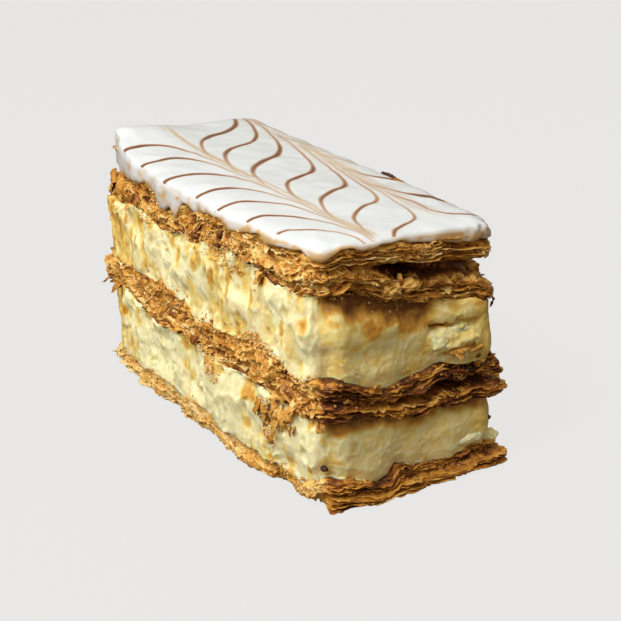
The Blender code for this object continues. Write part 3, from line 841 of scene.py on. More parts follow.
def cream_patterns(x, y, z, left, seed):
    """What a spread and cut cream shows, each by place: slow swells, flat facets, upright crests, level
    wrinkles, drag marks of a knife, pits, fine grain and lumps. Crests and wrinkles are ridges, where
    noise is near 0; facets, pits and lumps come from the distance to scattered points."""
    bend = 1.4 * clouds(x, y, z, 4.0, seed + 3, octaves=2)
    crest = clouds(x + bend, y + bend, z, (4.6, 4.6, 11.0), seed + 2, octaves=2)
    wrinkle = clouds(x, y + bend, z + bend, (6.0, 6.0, 3.6), seed + 9, octaves=2)
    return types.SimpleNamespace(
        swell=clouds(x, y, z, (8.0, 8.0, 5.0), seed + 1),
        facet=bubbles(x + bend, y + bend, 0.55 * z - bend, 6.0, seed + 4) - 0.55,
        crest=np.clip(1 - 1.6 * np.abs(crest), 0, 1) ** 2,
        wrinkle=np.clip(1 - 2.0 * np.abs(wrinkle), 0, 1) ** 2,
        drag=clouds(x, y, z, (1.3, 1.3, 8.0), seed + 5) + 0.5 * clouds(x, y, z, (0.6, 0.6, 5.0), seed + 6),
        pits=ease(0.36, 0.12, bubbles(x, y, 0.6 * z, 3.6, seed + 7)),
        grain=clouds(x, y, z, 0.8, seed + 8, octaves=2),
        lump=bubbles(x - bend, y + bend, (1 - 0.45 * left) * z + bend, 3.0, seed + 15) - 0.55,
    )


def cream_stain_and_shade(name, band, patterns, relief):
    """How browned the cream is, 0 to 1, with painted shade in it. It is a little more in hollows and less
    on ridges, which is painted shade, more towards the seams, partly soaking and partly painted shade in
    the crevices at the slabs, more over the near end and most towards +X there, which is painted shade,
    and more at the far end of the side at -X; then at least that of the smear, whose top just under the
    slab is painted shade, and of each mark."""
    x, y, z = band.x, band.y, band.z
    seed = 3 * NAMES.index(name)
    left, near, right, far = sides(band.spots)
    ends = near + far + 0.6 * right
    rim = ease(0.30, 0.0, 1 - band.share) + 0.5 * ease(0.18, 0.0, band.share)
    soft = clouds(x, y, z, (2.6, 2.6, 4.5), seed + 11, octaves=3)
    # Painted shade: the stain follows the relief, more in hollows and lumps, less on facets, crests and
    # wrinkles.
    stain = 0.09 + (0.11 * soft - 0.16 * patterns.facet) * (1 - 0.7 * near)
    stain = stain + (0.08 * patterns.drag - 0.14 * patterns.crest) * left
    stain = stain - 0.12 * patterns.wrinkle * ends * (1 - 0.5 * near)
    stain = stain + (0.20 * patterns.lump - 0.12 * np.clip(relief, -1.0, 1.0)) * left
    # Blotches, stronger towards the seams: partly soaking, partly painted shade in the crevices at the
    # slabs.
    stain = stain + 0.40 * ease(0.15, 1.1, soft + 0.7 * rim - 0.25) * (0.35 + 0.65 * left)
    # More at the far end of the side at -X, and painted shade on the near end, more towards +X.
    stain = stain + 0.30 * left * ease(24.0, 44.0, y) + 0.14 * near * ease(11.0, 19.0, x)
    # Painted shade over the near end.
    if name == "cream_upper":
        stain = stain + 0.08 * near + 0.03 * left
    else:
        stain = stain - 0.06 + 0.12 * near - 0.08 * left * ease(30.0, 18.0, np.abs(y))
    # The smear is darkest just under the slab, which is painted shade there.
    start, end, depth, strength = SMEARS_AND_SHADE[name]
    below = band.high - z - depth * (1 + 0.34 * clouds(x, y, z, 3.0, seed + 13, octaves=3))
    smear_and_shade = strength * near * ease(start, start + 3.0, x) * ease(end, end - 4.5, x)
    smear_and_shade = smear_and_shade * (0.50 * ease(1.6, -1.0, below) + 0.44 * ease(0.2, -0.85 * depth, below))
    stain = np.maximum(stain, smear_and_shade)
    fray = 0.22 * clouds(x, y, z, 2.0, seed + 12, octaves=3)
    for middle, half, strength in CREAM_MARKS:
        away = sum(((value - at) / size) ** 2 for value, at, size in zip((x, y, z), middle, half))
        stain = np.maximum(stain, 1.1 * strength * ease(1.15, 0.5, np.sqrt(away) + fray))
    return np.clip(stain, 0.0, 1.0)


def cream_band(layer):
    """A band of cream: the bulging side of the solid, with soft lumps all round, drag marks of a knife
    down the side at -X and a torn ledge and a hollow on the near end. Returns it and its stain, which
    also holds painted shade."""
    name = NAMES[layer]
    spots = rim_spots(CREAM_COLUMNS)
    left, near, right, far = sides(spots)
    slump = side_to_side(spots, 0.0, SLUMP[name]) + ragged(spots, layer, CREAM_RAGGED)
    slump = slump + bitten(name, 0, spots)
    corners = 1.8 * ease(0.74, 1.0, np.abs(spots.across)) * ease(0.88, 1.0, np.abs(spots.along))
    side = [(share, keep_in * (1 - 0.75 * left) + slump + corners, 0.0) for share, keep_in in CREAM_SIDE]
    rows = CREAM_ROWS[name]
    band = Band(layer, spots, [(0.0, RIM, 0.0), *side, (1.0, RIM, 0.0)], [4, rows, rows, rows, rows, 4])
    x, y, z = band.x, band.y, band.z
    seed = 3 * layer
    patterns = cream_patterns(x, y, z, left, seed)
    relief = 0.55 * patterns.swell + 0.42 * patterns.facet
    cut = 0.46 * patterns.crest + 0.22 * patterns.drag - 0.70 * patterns.pits - 0.55 * patterns.lump
    wiped = 0.13 * patterns.wrinkle - 0.10 * patterns.lump - 0.12 * patterns.facet
    relief = relief + cut * left + wiped * (near + far + 0.6 * right) + 0.09 * patterns.grain
    if name == "cream_upper":
        torn = near * ease(4.0, 6.5, x) * ease(17.5, 15.5, x)
        shelf = z + 0.9 * clouds(x, y, z, 1.6, seed + 14, octaves=3)
        relief = relief + torn * (0.9 * hill(shelf, 29.2, 1.2) - 2.2 * hill(shelf, 32.8, 0.9))
        relief = relief - near * ease(-19.0, -16.0, x) * ease(8.5, 5.0, x) * ease(5.5, 2.5, band.high - z)
    stain = cream_stain_and_shade(name, band, patterns, relief)
    skin = ease(-0.01, 0.03, band.share) * ease(-0.01, 0.03, 1 - band.share)
    band.push((relief - 0.25) * skin, 0.1 * patterns.grain * skin)
    return band, stain


# --- Icing ---

ICING_COLUMNS = 940
ICING_STEP = 0.3

# The piped lines, in the plan's own coordinates: where each starts at -X, its place along Y before the
# first comb stroke and how it leans there, its place between the strokes, its place beyond the second, and
# how much it thickens near its end at +X. Their width changes along Y.
LINES = (
    (9.0, 52.0, 0.0, 52.5, 50.0, 0.0),
    (-19.8, 32.5, 0.0, 35.5, 36.0, 0.0),
    (-22.6, 20.2, 0.0, 23.5, 24.0, 0.0),
    (-25.0, 6.8, 0.0, 10.5, 10.0, 0.0),
    (-26.0, -6.5, -0.12, -4.5, -3.0, 0.0),
    (-25.0, -17.0, -0.22, -17.8, -17.0, 0.3),
    (-21.5, -27.3, -0.40, -30.0, -34.0, 2.2),
    (-20.5, -37.5, -0.55, -44.0, -44.0, 0.0),
)
LINE_TAPER = ((-46.0, 0.60), (-22.0, 0.84), (8.0, 1.08), (40.0, 1.22))
LINE_WIDTH = 1.12
PIPING_STEP = 18.0  # a line starts to bend away this far out at -X

# Each comb stroke: its place in X for each Y, and how far it drags a line and over what distance that
# fades, on the side at -X and on the side at +X. Both fade lengths of the second change along Y.
COMB_A = ((-50.0, -6.3), (-10.0, -6.5), (10.0, -6.2), (30.0, -5.5), (50.0, -4.0))
COMB_B = ((-45.0, 11.8), (-30.0, 12.5), (-15.0, 14.3), (0.0, 16.0), (20.0, 18.3), (40.0, 20.5), (50.0, 21.6))
BEFORE_B = ((-30.0, 1.2), (-15.0, 1.9), (0.0, 2.4), (15.0, 3.1), (50.0, 3.3))
BEYOND_B = ((-38.0, 1.3), (-31.0, 5.0), (-22.0, 3.4), (50.0, 3.0))
DRAG_A = ((23.0, 2.1), (16.4, 3.0))
MIDDLE_LEAN = 0.25  # slope of a line between the strokes
PULL_B = (33.0, 20.0)


def drawn_lines(x, y):
    """Distance to the nearest piped line's edge, how faded it is there, and how smeared the icing is.

    A line runs across the slice at its own place along Y. The first comb stroke drags it to -Y and the
    second to +Y, by a length that falls off exponentially with the distance from the stroke. The
    distance to a line is the one along Y, divided by the root of 1 plus its slope squared."""
    to_a, to_b = x - np.interp(y, *zip(*COMB_A)), np.interp(y, *zip(*COMB_B)) - x
    reach_b, reach_on = np.interp(y, *zip(*BEFORE_B)), np.interp(y, *zip(*BEYOND_B))
    left, right = to_a < 0, to_b < 0
    (far_a, reach_a), (near_a, reach_past) = DRAG_A
    ahead_a, past_a = np.exp(np.minimum(to_a, 0) / reach_a), np.exp(-np.maximum(to_a, 0) / reach_past)
    ahead_b, past_b = np.exp(-np.maximum(to_b, 0) / reach_b), np.exp(np.minimum(to_b, 0) / reach_on)
    pull_a = np.where(left, far_a * ahead_a, near_a * past_a)
    pull_b = np.where(right, PULL_B[1] * past_b, PULL_B[0] * ahead_b)
    slope = np.where(right, pull_b / reach_on, pull_a / reach_past + pull_b / reach_b + MIDDLE_LEAN)
    slope = np.where(left, pull_a / reach_a, slope)
    steep = np.sqrt(1 + slope**2)
    nearest = np.full(x.shape, 9.0)
    taper = LINE_WIDTH * np.interp(y, *zip(*LINE_TAPER))
    for start, y_left, lean, y_mid, y_right, blob in LINES:
        out = x + PIPING_STEP
        before = y_left - 1.8 * (np.minimum(out, 0) / 7) ** 2 + lean * np.maximum(out, 0) - pull_a
        between = y_mid + MIDDLE_LEAN * (x - 5) - pull_a + pull_b
        place = np.where(left, before, np.where(right, y_right + pull_b, between))
        wobble = 0.22 * clouds(x, y_mid, 0.0, (4.0, 1.0, 1.0), 31)
        uneven = 1 + 0.22 * clouds(x, y_mid, 3.0, (3.5, 1.0, 1.0), 32)
        width = taper * (uneven + blob * ease(16.0, 19.0, x) * ease(22.4, 20.6, x))
        gap = (np.abs(y - place - wobble) - width / 2 * np.minimum(1 + 0.2 * slope, 1.8)) / steep
        gap = np.where(x < start, np.hypot(np.maximum(gap, 0), start - x - 0.2), gap)
        nearest = np.minimum(nearest, np.where(left & (start > 0), 9.0, gap))
    faded = np.exp(-np.abs(to_a) / 2.0) + np.exp(-np.abs(to_b) / 1.5) + 0.75 * right * ease(-14, 6, y)
    streaks = 0.60 + 1.0 * clouds(np.where(x < 5, to_a, to_b - 60), y, 0.0, (0.45, 22.0, 1.0), 33)
    fork = ease(34, 52, y)
    strands = hill(to_a, 0.4 - 4.2 * fork, 1.0) + hill(to_a, 0.4 + 1.8 * fork, 0.9) * ease(56, 30, y)
    strands = strands + 0.8 * hill(to_a, 0.3, 2.0) * ease(-28, -46, y)
    smeared = hill(to_b, -0.9, 2.0 + 1.4 * ease(-10, 40, y)) * ease(-47, -36, y)
    streak = (strands + 0.85 * smeared) * np.clip(streaks, 0.1, 1.2)
    return nearest, np.clip(faded, 0, 1), np.clip(streak, 0, 1)


def icing_lid():
    """The sheet of icing: rings from its underside round a soft lip and over the top to the middle. The
    lip is uneven, thin over the pastry and longer where it ran; the top lies in slow swells."""
    layer = NAMES.index("icing")
    spots = rim_spots(ICING_COLUMNS)
    x, y = outline(spots, 0.0)
    left, near, *_ = sides(spots)
    slow = clouds(x, y, 0.0, (6.0, 6.0, 1.0), 21, octaves=2)
    quick = clouds(x, y, 0.0, (2.2, 2.2, 1.0), 26)
    edge = icing_inset(spots) + 0.30 * slow + 0.05 * quick + 0.2 + bitten("icing", 0, spots)
    hang = np.maximum(fall(spots), 0.0)
    down = hang + 0.20 * quick + 0.15
    edge = edge - 0.10 * hang
    keys = [
        (0.0, RIM, 0.0),
        (0.0, edge + 0.2, 0.1),
        (0.0, edge - 0.35 * LIP_OUT, down),
        (0.0, edge - 0.85 * LIP_OUT, 0.95 * down),
        (0.12, edge - LIP_OUT, 0.6 * down),
        (0.42, edge - 0.75 * LIP_OUT, 0.12 * down),
        (0.64, edge - 0.2 * LIP_OUT, 0.0),
        (0.80, edge + 0.7 + 0.5 * left, 0.0),
        (0.92, edge + 1.7 + 1.2 * left, 0.0),
        (0.98, edge + 3.2 + 1.5 * left, 0.0),
        (1.0, edge + 5.0 + 2.0 * left, 0.0),
    ]
    inner = WIDTH / 2 - 0.1
    keys.append((1.0, inner, 0.0))
    band = Band(layer, spots, keys, [1, 3, 2, 3, 3, 3, 3, 4, 5, 6, int((inner - 6.5) / ICING_STEP)])
    x, y = band.x, band.y
    top = ease(0.7, 1.0, band.share)
    plane = sum(thick + x * across + y * along for thick, across, along in LAYERS.values())
    flat = ease(5.0, 10.0, band.inset) * top
    band.z = band.z * (1 - flat) + plane * flat
    swell = 0.22 * clouds(x, y, 0.0, (9.0, 9.0, 1.0), 23) + 0.06 * clouds(x, y, 0.0, 3.0, 24)
    raised = 1.7 * ease(22, 50, y) * ease(12, -14, x) + 1.5 * ease(32, 50, y) * ease(0, -16, x)
    uneven = clouds(x, y, band.z, (4.0, 4.0, 2.6), 27)
    rough = ease(12.0, 21.0, x) * ease(-38.0, -48.0, y)
    uneven = uneven + 3.0 * rough * clouds(x, y, band.z, 1.3, 28, octaves=2)
    outside = ease(0.0, 0.02, band.inset - edge + 1.4 * LIP_OUT + 0.5)
    band.push(0.15 * uneven * ease(1.0, 0.6, band.share) * outside)
    line, faded, streak = drawn_lines(band.x + BOX_MIDDLE[0], band.y + BOX_MIDDLE[1])
    band.z = band.z + swell * top + raised * ease(0.1, 0.6, band.share) - 0.05 * ease(0.4, -0.3, line) * top
    line = np.where(band.share < 0.5, 9.0, line)
    thin = clouds(band.x, band.y, band.z, (2.2, 2.2, 1.4), 25, octaves=2)
    corner = near * ease(-4.0, -14.0, band.x) + 0.7 * near + 0.5 * left * ease(-8.0, -30.0, band.y)
    thin = 0.16 + 0.9 * ease(-0.4, 0.6, thin) + 0.5 * corner
    thin = np.clip(ease(0.72, 0.1, band.share) * thin, 0.0, 1.0)
    return band, line, faded, streak * top, thin


# --- Flakes and crumbs ---

# How the bits are shared out over the slabs, from the bottom up, and over the two creams; and how many
# lie on the cream for each one on the pastry.
CRUMB_SHARES = ((0.20, 0.36, 0.44), (0.45, 0.55))
FLAKE_SHARES = ((0.16, 0.38, 0.46), (0.5, 0.5))
CURL_SHARES = (0.14, 0.38, 0.48)
CRUMBS_ON_CREAM = 0.25
FLAKES_ON_CREAM = 0.12
NEAR_FACE = -47.5  # crumbs nearer than this Y lie on the near end and are given a darker tone


def placed(local, centres, axes):
    """The points of each thing, moved from its own frame to its centre and its three axes."""
    points = sum(local[..., i : i + 1] * axis[:, None] for i, axis in enumerate(axes))
    return (centres[:, None] + points).reshape(-1, 3)


def repeated(faces, count, each):
    """The faces of one thing, repeated for a count of things of each so many points."""
    return (faces[None] + (np.arange(count) * each)[:, None, None]).reshape(-1, faces.shape[1])


def turned(rng, count, normal, lean):
    """Three axes for each thing. The last is a random direction, drawn towards normal by lean."""
    away = rng.normal(size=(count, 3)) * (1 - lean) + normal * (0.4 + 2.5 * lean)
    up = away / np.linalg.norm(away, axis=1, keepdims=True)
    side = np.cross(up, rng.normal(size=(count, 3)))
    side /= np.linalg.norm(side, axis=1, keepdims=True)
    return side, np.cross(up, side), up


def flakes(rng, centres, normals, sizes, lean):
    """Torn bits of leaf. Each is a thin plate on 8 uneven spokes, bent by curl times the square of the
    way across, with an upper and a lower face that meet at the rim."""
    count, spokes = len(centres), 8
    turns = np.arange(spokes) * 2 * math.pi / spokes
    radius = sizes[:, None] * rng.uniform(0.45, 1.0, (count, spokes))
    stretch = rng.uniform(0.4, 0.8, (count, 1))
    centre, halfway = np.zeros((count, 1)), 0.55
    u, v = radius * np.cos(turns), radius * np.sin(turns)
    u = np.concatenate((centre, u, u * halfway), axis=1)
    v = np.concatenate((centre, v, v * halfway), axis=1) * stretch
    curl = rng.normal(0, 0.35, (count, 1)) / sizes[:, None]
    bend = curl * u**2 + rng.normal(0, 0.05, u.shape) * sizes[:, None]
    thick = 0.10 + 0.05 * rng.random((count, 1))
    lift = np.concatenate((thick, np.zeros((count, spokes)), np.tile(thick, (1, spokes))), axis=1)
    upper = np.stack((u, v, bend + lift), axis=-1)
    inner = [0, *range(spokes + 1, 2 * spokes + 1)]
    lower = np.stack((u, v, bend - lift), axis=-1)[:, inner]
    local = np.concatenate((upper, lower), axis=1)
    points = placed(local, centres, turned(rng, count, normals, lean))
    rim, middle = 1 + np.arange(spokes), np.zeros(spokes, int)
    rim_next = np.roll(rim, -1)
    mid, mid_next, low = rim + spokes, rim_next + spokes, 2 * spokes + 1
    fans = [(middle, mid, mid_next), (middle + low, low + rim_next, low + rim)]
    for a, b, c, d in ((mid, rim, rim_next, mid_next), (low + rim, low + rim_next, rim_next, rim)):
        fans += [(a, b, c), (a, c, d)]
    faces = np.concatenate([np.stack(fan, axis=-1) for fan in fans])
    each = local.shape[1]
    return points, repeated(faces, count, each), each


def curled_leaves(rng, centres, normals, lengths, widths, bends, loose=1.0):
    """Flaps of leaf that stick out of a slab. Each is a ribbon 7 points long and 4 wide that leaves its
    centre along the normal, tilted at random, and turns up or down on an arc by its own angle. It
    narrows unevenly to its torn end, and an upper and a lower face meet at the rim."""
    count, long, wide = len(centres), 7, 4
    t = np.linspace(0, 1, long)[None, :, None]
    v = np.linspace(-1, 1, wide)[None, None, :]
    angle = bends[:, None, None] * t
    safe = np.where(np.abs(bends) < 0.05, 0.05, bends)[:, None, None]
    radius = lengths[:, None, None] / safe
    torn = 1 - 0.75 * t**2 * rng.random((count, 1, 1)) + rng.normal(0, 0.12, (count, long, wide))
    ahead = radius * np.sin(angle) + rng.normal(0, 0.05, (count, long, wide)) * lengths[:, None, None]
    aside = widths[:, None, None] * v * torn
    lift = radius * (1 - np.cos(angle)) + rng.normal(0, 0.06, (count, long, wide))
    lift = lift + 0.25 * widths[:, None, None] * v**2
    half = 0.07 * (1.6 - t) * np.ones_like(aside)
    upper = np.stack((ahead, aside, lift + half), axis=-1).reshape(count, -1, 3)
    lower = np.stack((ahead, aside, lift - half), axis=-1).reshape(count, -1, 3)
    local = np.concatenate((upper, lower), axis=1)
    forward = normals + loose * rng.normal(0, 0.22, (count, 3))
    forward /= np.linalg.norm(forward, axis=1, keepdims=True)
    up = np.array([0.0, 0.0, 1.0]) + loose * rng.normal(0, 0.3, (count, 3))
    aside_axis = np.cross(up, forward)
    aside_axis /= np.linalg.norm(aside_axis, axis=1, keepdims=True)
    points = placed(local, centres, (forward, aside_axis, np.cross(forward, aside_axis)))
    upper = np.arange(long * wide).reshape(long, wide)
    quads = np.stack((upper[:-1, :-1], upper[1:, :-1], upper[1:, 1:], upper[:-1, 1:]), axis=-1)
    quads = quads.reshape(-1, 4)
    rim = np.concatenate((upper[:-1, 0], upper[-1, :-1], upper[:0:-1, -1], upper[0, :0:-1]))
    onward = np.roll(rim, -1)
    border = np.stack((rim + upper.size, onward + upper.size, onward, rim), axis=-1)
    faces = np.concatenate((quads, quads[:, [0, 3, 2, 1]] + upper.size, border))
    return points, repeated(faces, count, 2 * upper.size), 2 * upper.size


def boulders(middles, halves, seed, rough):
    """Lumps placed one by one: balls of 26 rings by 36 spokes, closed at the poles, pushed in and out by
    noise and stretched to their half sizes."""
    rings, spokes = 26, 36
    up = np.radians(np.linspace(-90, 90, rings + 2))[1:-1, None]
    turn = (np.arange(spokes) * 2 * math.pi / spokes)[None, :]
    ball = np.stack([np.cos(up) * np.cos(turn), np.cos(up) * np.sin(turn), np.sin(up) + 0 * turn], axis=-1)
    ball = np.concatenate((ball.reshape(-1, 3), [[0, 0, -1.0], [0, 0, 1.0]]))
    points = ball[None] * halves[:, None]
    noise = clouds(*np.moveaxis(points + middles[:, None], -1, 0), 0.9, seed, octaves=4)
    points = middles[:, None] + points * (1 + rough * noise[..., None])
    quads = band_faces(rings, spokes)
    spoke = np.arange(spokes)
    low = np.stack(((spoke + 1) % spokes, spoke, spoke * 0 + rings * spokes), axis=-1)
    last = (rings - 1) * spokes
    high = np.stack((last + spoke, last + (spoke + 1) % spokes, spoke * 0 + rings * spokes + 1), axis=-1)
    faces = np.concatenate((quads[:, :3], quads[:, [0, 2, 3]], low, high))
    return points.reshape(-1, 3), repeated(faces, len(middles), len(ball)), len(ball)


def lumps(rng, centres, sizes):
    """Crumbs: the 12 corners of an icosahedron, each pushed in or out, then stretched. Its faces are the
    threes of corners that all lie one edge apart, turned to face out."""
    golden = (1 + 5**0.5) / 2
    corners = np.array([(0, a, b * golden) for a in (-1, 1) for b in (-1, 1)])
    corners = np.concatenate((corners, corners[:, [2, 0, 1]], corners[:, [1, 2, 0]]))
    corners /= np.linalg.norm(corners[0])
    gaps = np.linalg.norm(corners[:, None] - corners[None], axis=-1)
    near = (gaps > 0.1) & (gaps < 1.2)
    threes = np.array(list(itertools.combinations(range(12), 3)))
    i, j, k = threes.T
    faces = threes[near[i, j] & near[j, k] & near[i, k]]
    first, second, third = corners[faces].transpose(1, 0, 2)
    faces_out = (np.cross(second - first, third - first) * first).sum(axis=1) > 0
    faces = np.where(faces_out[:, None], faces, faces[:, ::-1])
    count = len(centres)
    local = corners[None] * sizes[:, None, None] * rng.uniform(0.6, 1.15, (count, 12, 1))
    local *= rng.uniform(0.6, 1.2, (count, 1, 3))
    return (centres[:, None] + local).reshape(-1, 3), repeated(faces, count, 12), 12


def on_band(rng, band, weight, count, sunk=0.0):
    """Random places on a band's surface, likelier where weight is large and sunk into it, with the
    level direction out of it."""
    shown = weight * (band.inset < 3.5)
    odds = shown.ravel() / shown.sum()
    picks = rng.choice(odds.size, size=count, p=odds)
    columns = picks % len(band.out_x)
    out = np.stack((band.out_x[columns], band.out_y[columns], np.zeros(count)), axis=-1)
    return band.points()[picks] - out * sunk + rng.normal(0, 0.08, (count, 3)), out


def seated(middles, surface, most):
    """Moves each middle straight towards the nearest point of the surface, until it is at most this far
    from it."""
    moved = np.array(middles, float)
    for i, middle in enumerate(moved):
        away = surface - middle
        nearest = away[np.argmin((away**2).sum(axis=1))]
        distance = np.sqrt((nearest**2).sum())
        moved[i] = middle + nearest * max(0.0, 1 - most / max(distance, 1e-6))
    return moved


def spread(rng, bands, total, shares, chance, sunk):
    """Places on the bands, in the given shares of the total, with the level direction out of them."""
    counts = [int(total * part) for part in shares]
    found = [on_band(rng, band, chance(band), count, sunk) for band, count in zip(bands, counts)]
    return [np.concatenate(parts) for parts in zip(*found)]


def crumbly(band):
    """Likelier on the side at -X, in patches."""
    left, near, *_ = sides(band.spots)
    patch = ease(-0.3, 0.6, clouds(band.x, band.y, band.z, (4.0, 4.0, 2.0), 61))
    return (0.06 + 0.94 * left + 0.34 * near) * (0.15 + patch) * ease(0.0, 0.05, band.share)


def beside_slabs(band):
    """On the cream where crumbs were dragged: along its seams and in the clusters."""
    left, near, *_ = sides(band.spots)
    edge = ease(0.16, 0.0, band.share) + ease(0.14, 0.0, 1 - band.share)
    patch = ease(-0.1, 0.8, clouds(band.x, band.y, band.z, (5.0, 5.0, 3.0), 62))
    weight = (0.9 * left + 0.45 * near + 0.03) * (edge * patch + 0.003)
    for middle, half, much in CLUSTERS:
        weight = weight + much * inside((band.x, band.y, band.z), middle, half)
    return weight


def all_round(band):
    """Evenly round a slab, less on the near part of the side at -X."""
    return ease(0.0, 0.05, band.share) * (1 - 0.35 * sides(band.spots)[0] * (band.y < 24))


def hanging_flaps(rng, surface):
    """The flaps of FLAPS. Those of common width have three smaller copies beside them, so that each is a
    torn bunch. Returns points, faces, tones and the number of points in each."""
    narrow, wide = 0.5, 2.5
    columns = [np.array(column, float) for column in zip(*FLAPS)]
    alone = (columns[3] < narrow) | (columns[3] > wide)
    pick = np.repeat(np.arange(len(FLAPS)), np.where(alone, 1, 4))
    starts, ways, lengths, widths, bends, tones = (column[pick] for column in columns)
    first = np.diff(pick, prepend=-1) > 0
    count = len(pick)
    starts = starts + ~first[:, None] * rng.normal(0, 0.45, (count, 3)) * widths[:, None] * (0.6, 1.0, 0.6)
    lengths = lengths * np.where(first, 1.0, rng.uniform(0.55, 0.95, count))
    widths = widths * np.where(alone[pick], 1.0, rng.uniform(0.3, 0.7, count))
    bends = bends + ~first * rng.normal(0, 0.5, count)
    tones = np.clip(tones + ~first * rng.normal(0, 0.16, count), 0.05, 0.95)
    starts = seated(starts, surface, 0.3)
    points, faces, each = curled_leaves(rng, starts, ways, lengths, widths, bends, 0.6)
    return points, faces, tones, each


# --- Materials ---


def add(tree, kind, links=(), stops=(), **settings):
    """Adds one node. settings are its own properties, or its sockets when the name isn't a property.
    links are pairs of a socket and the output, or the value, that feeds it. stops are a colour ramp's
    positions and linear colours."""
    node = tree.nodes.new(kind)
    for key, value in settings.items():
        if key in node.bl_rna.properties:
            setattr(node, key, value)
        else:
            node.inputs[key.replace("_", " ")].default_value = value
    for socket, source in links:
        if isinstance(source, bpy.types.NodeSocket):
            tree.links.new(source, node.inputs[socket])
        else:
            node.inputs[socket].default_value = source
    if stops:
        elements = node.color_ramp.elements
        while len(elements) < len(stops):
            elements.new(0.5)
        for element, (position, colour) in zip(elements, stops):
            element.position = position
            element.color = (*colour, 1.0)
    return node


def new_material(name):
    """An empty material with its output node."""
    material = bpy.data.materials.new(name)
    material.use_nodes = True
    tree = material.node_tree
    tree.nodes.clear()
    return material, tree, add(tree, "ShaderNodeOutputMaterial")


def weighted(tree, start, parts):
    """start plus each output times its share, as a chain of nodes."""
    total = start
    for source, share in parts:
        terms = [(0, source), (1, share), (2, total)]
        total = add(tree, "ShaderNodeMath", terms, operation="MULTIPLY_ADD").outputs[0]
    return total


def pastry_material(name, colours):
    """Puff pastry: laminated dough baked in dry heat, so that thin leaves are dull and flaky, pale gold
    inside and browned on their edges. The attribute tone runs from near black, 0, which paints the shade
    in the gaps, to a dry leaf edge, 1, partly a painted highlight where the relief stands out; browning
    3 mm wide and crumb half a millimetre wide mottle it."""
    material, tree, output = new_material(name)
    tone = add(tree, "ShaderNodeAttribute", attribute_name="tone").outputs["Fac"]
    place = [("Vector", add(tree, "ShaderNodeTexCoord").outputs["Object"])]
    blotch = add(tree, "ShaderNodeTexNoise", place, Scale=1 / (3.2 * MM), Detail=3.0).outputs["Fac"]
    speck = add(tree, "ShaderNodeTexNoise", place, Scale=1 / (0.55 * MM), Detail=2.0).outputs["Fac"]
    level = weighted(tree, -0.42, ((tone, 1.0), (blotch, 0.34), (speck, 0.50)))
    colour = add(tree, "ShaderNodeValToRGB", [("Fac", level)], colours).outputs["Color"]
    bump = add(tree, "ShaderNodeBump", [("Height", speck)], Strength=0.8, Distance=0.2 * MM)
    links = [("Base Color", colour), ("Normal", bump.outputs["Normal"])]
    glow = {"Subsurface_Weight": 0.08, "Subsurface_Radius": (1.2, 0.6, 0.25), "Subsurface_Scale": 0.6 * MM}
    shader = add(tree, "ShaderNodeBsdfPrincipled", links, Roughness=0.6, IOR=1.45, **glow)
    tree.links.new(shader.outputs[0], output.inputs["Surface"])
    return material


def cream_material(colours):
    """Pastry cream: milk thickened with egg and starch, spread cold and cut, so it is moist, dense and a
    little translucent. The attribute stain runs from clean cream, 0, to caramelised smears, 1; it also
    holds painted shade in hollows, at the slabs and over the near end."""
    material, tree, output = new_material("Vanilla pastry cream")
    stain = add(tree, "ShaderNodeAttribute", attribute_name="stain").outputs["Fac"]
    place = [("Vector", add(tree, "ShaderNodeTexCoord").outputs["Object"])]
    mottle = add(tree, "ShaderNodeTexNoise", place, Scale=1 / (1.6 * MM), Detail=4.0).outputs["Fac"]
    level = weighted(tree, -0.20, ((stain, 1.0), (mottle, 0.40)))
    colour = add(tree, "ShaderNodeValToRGB", [("Fac", level)], colours).outputs["Color"]
    grain = add(tree, "ShaderNodeTexNoise", place, Scale=1 / (0.6 * MM), Detail=3.0).outputs["Fac"]
    bump = add(tree, "ShaderNodeBump", [("Height", grain)], Strength=0.6, Distance=0.14 * MM)
    links = [("Base Color", colour), ("Normal", bump.outputs["Normal"])]
    glow = {"Subsurface_Weight": 0.7, "Subsurface_Radius": (2.6, 1.9, 0.8), "Subsurface_Scale": 0.6 * MM}
    shader = add(tree, "ShaderNodeBsdfPrincipled", links, Roughness=0.52, IOR=1.40, **glow)
    tree.links.new(shader.outputs[0], output.inputs["Surface"])
    return material


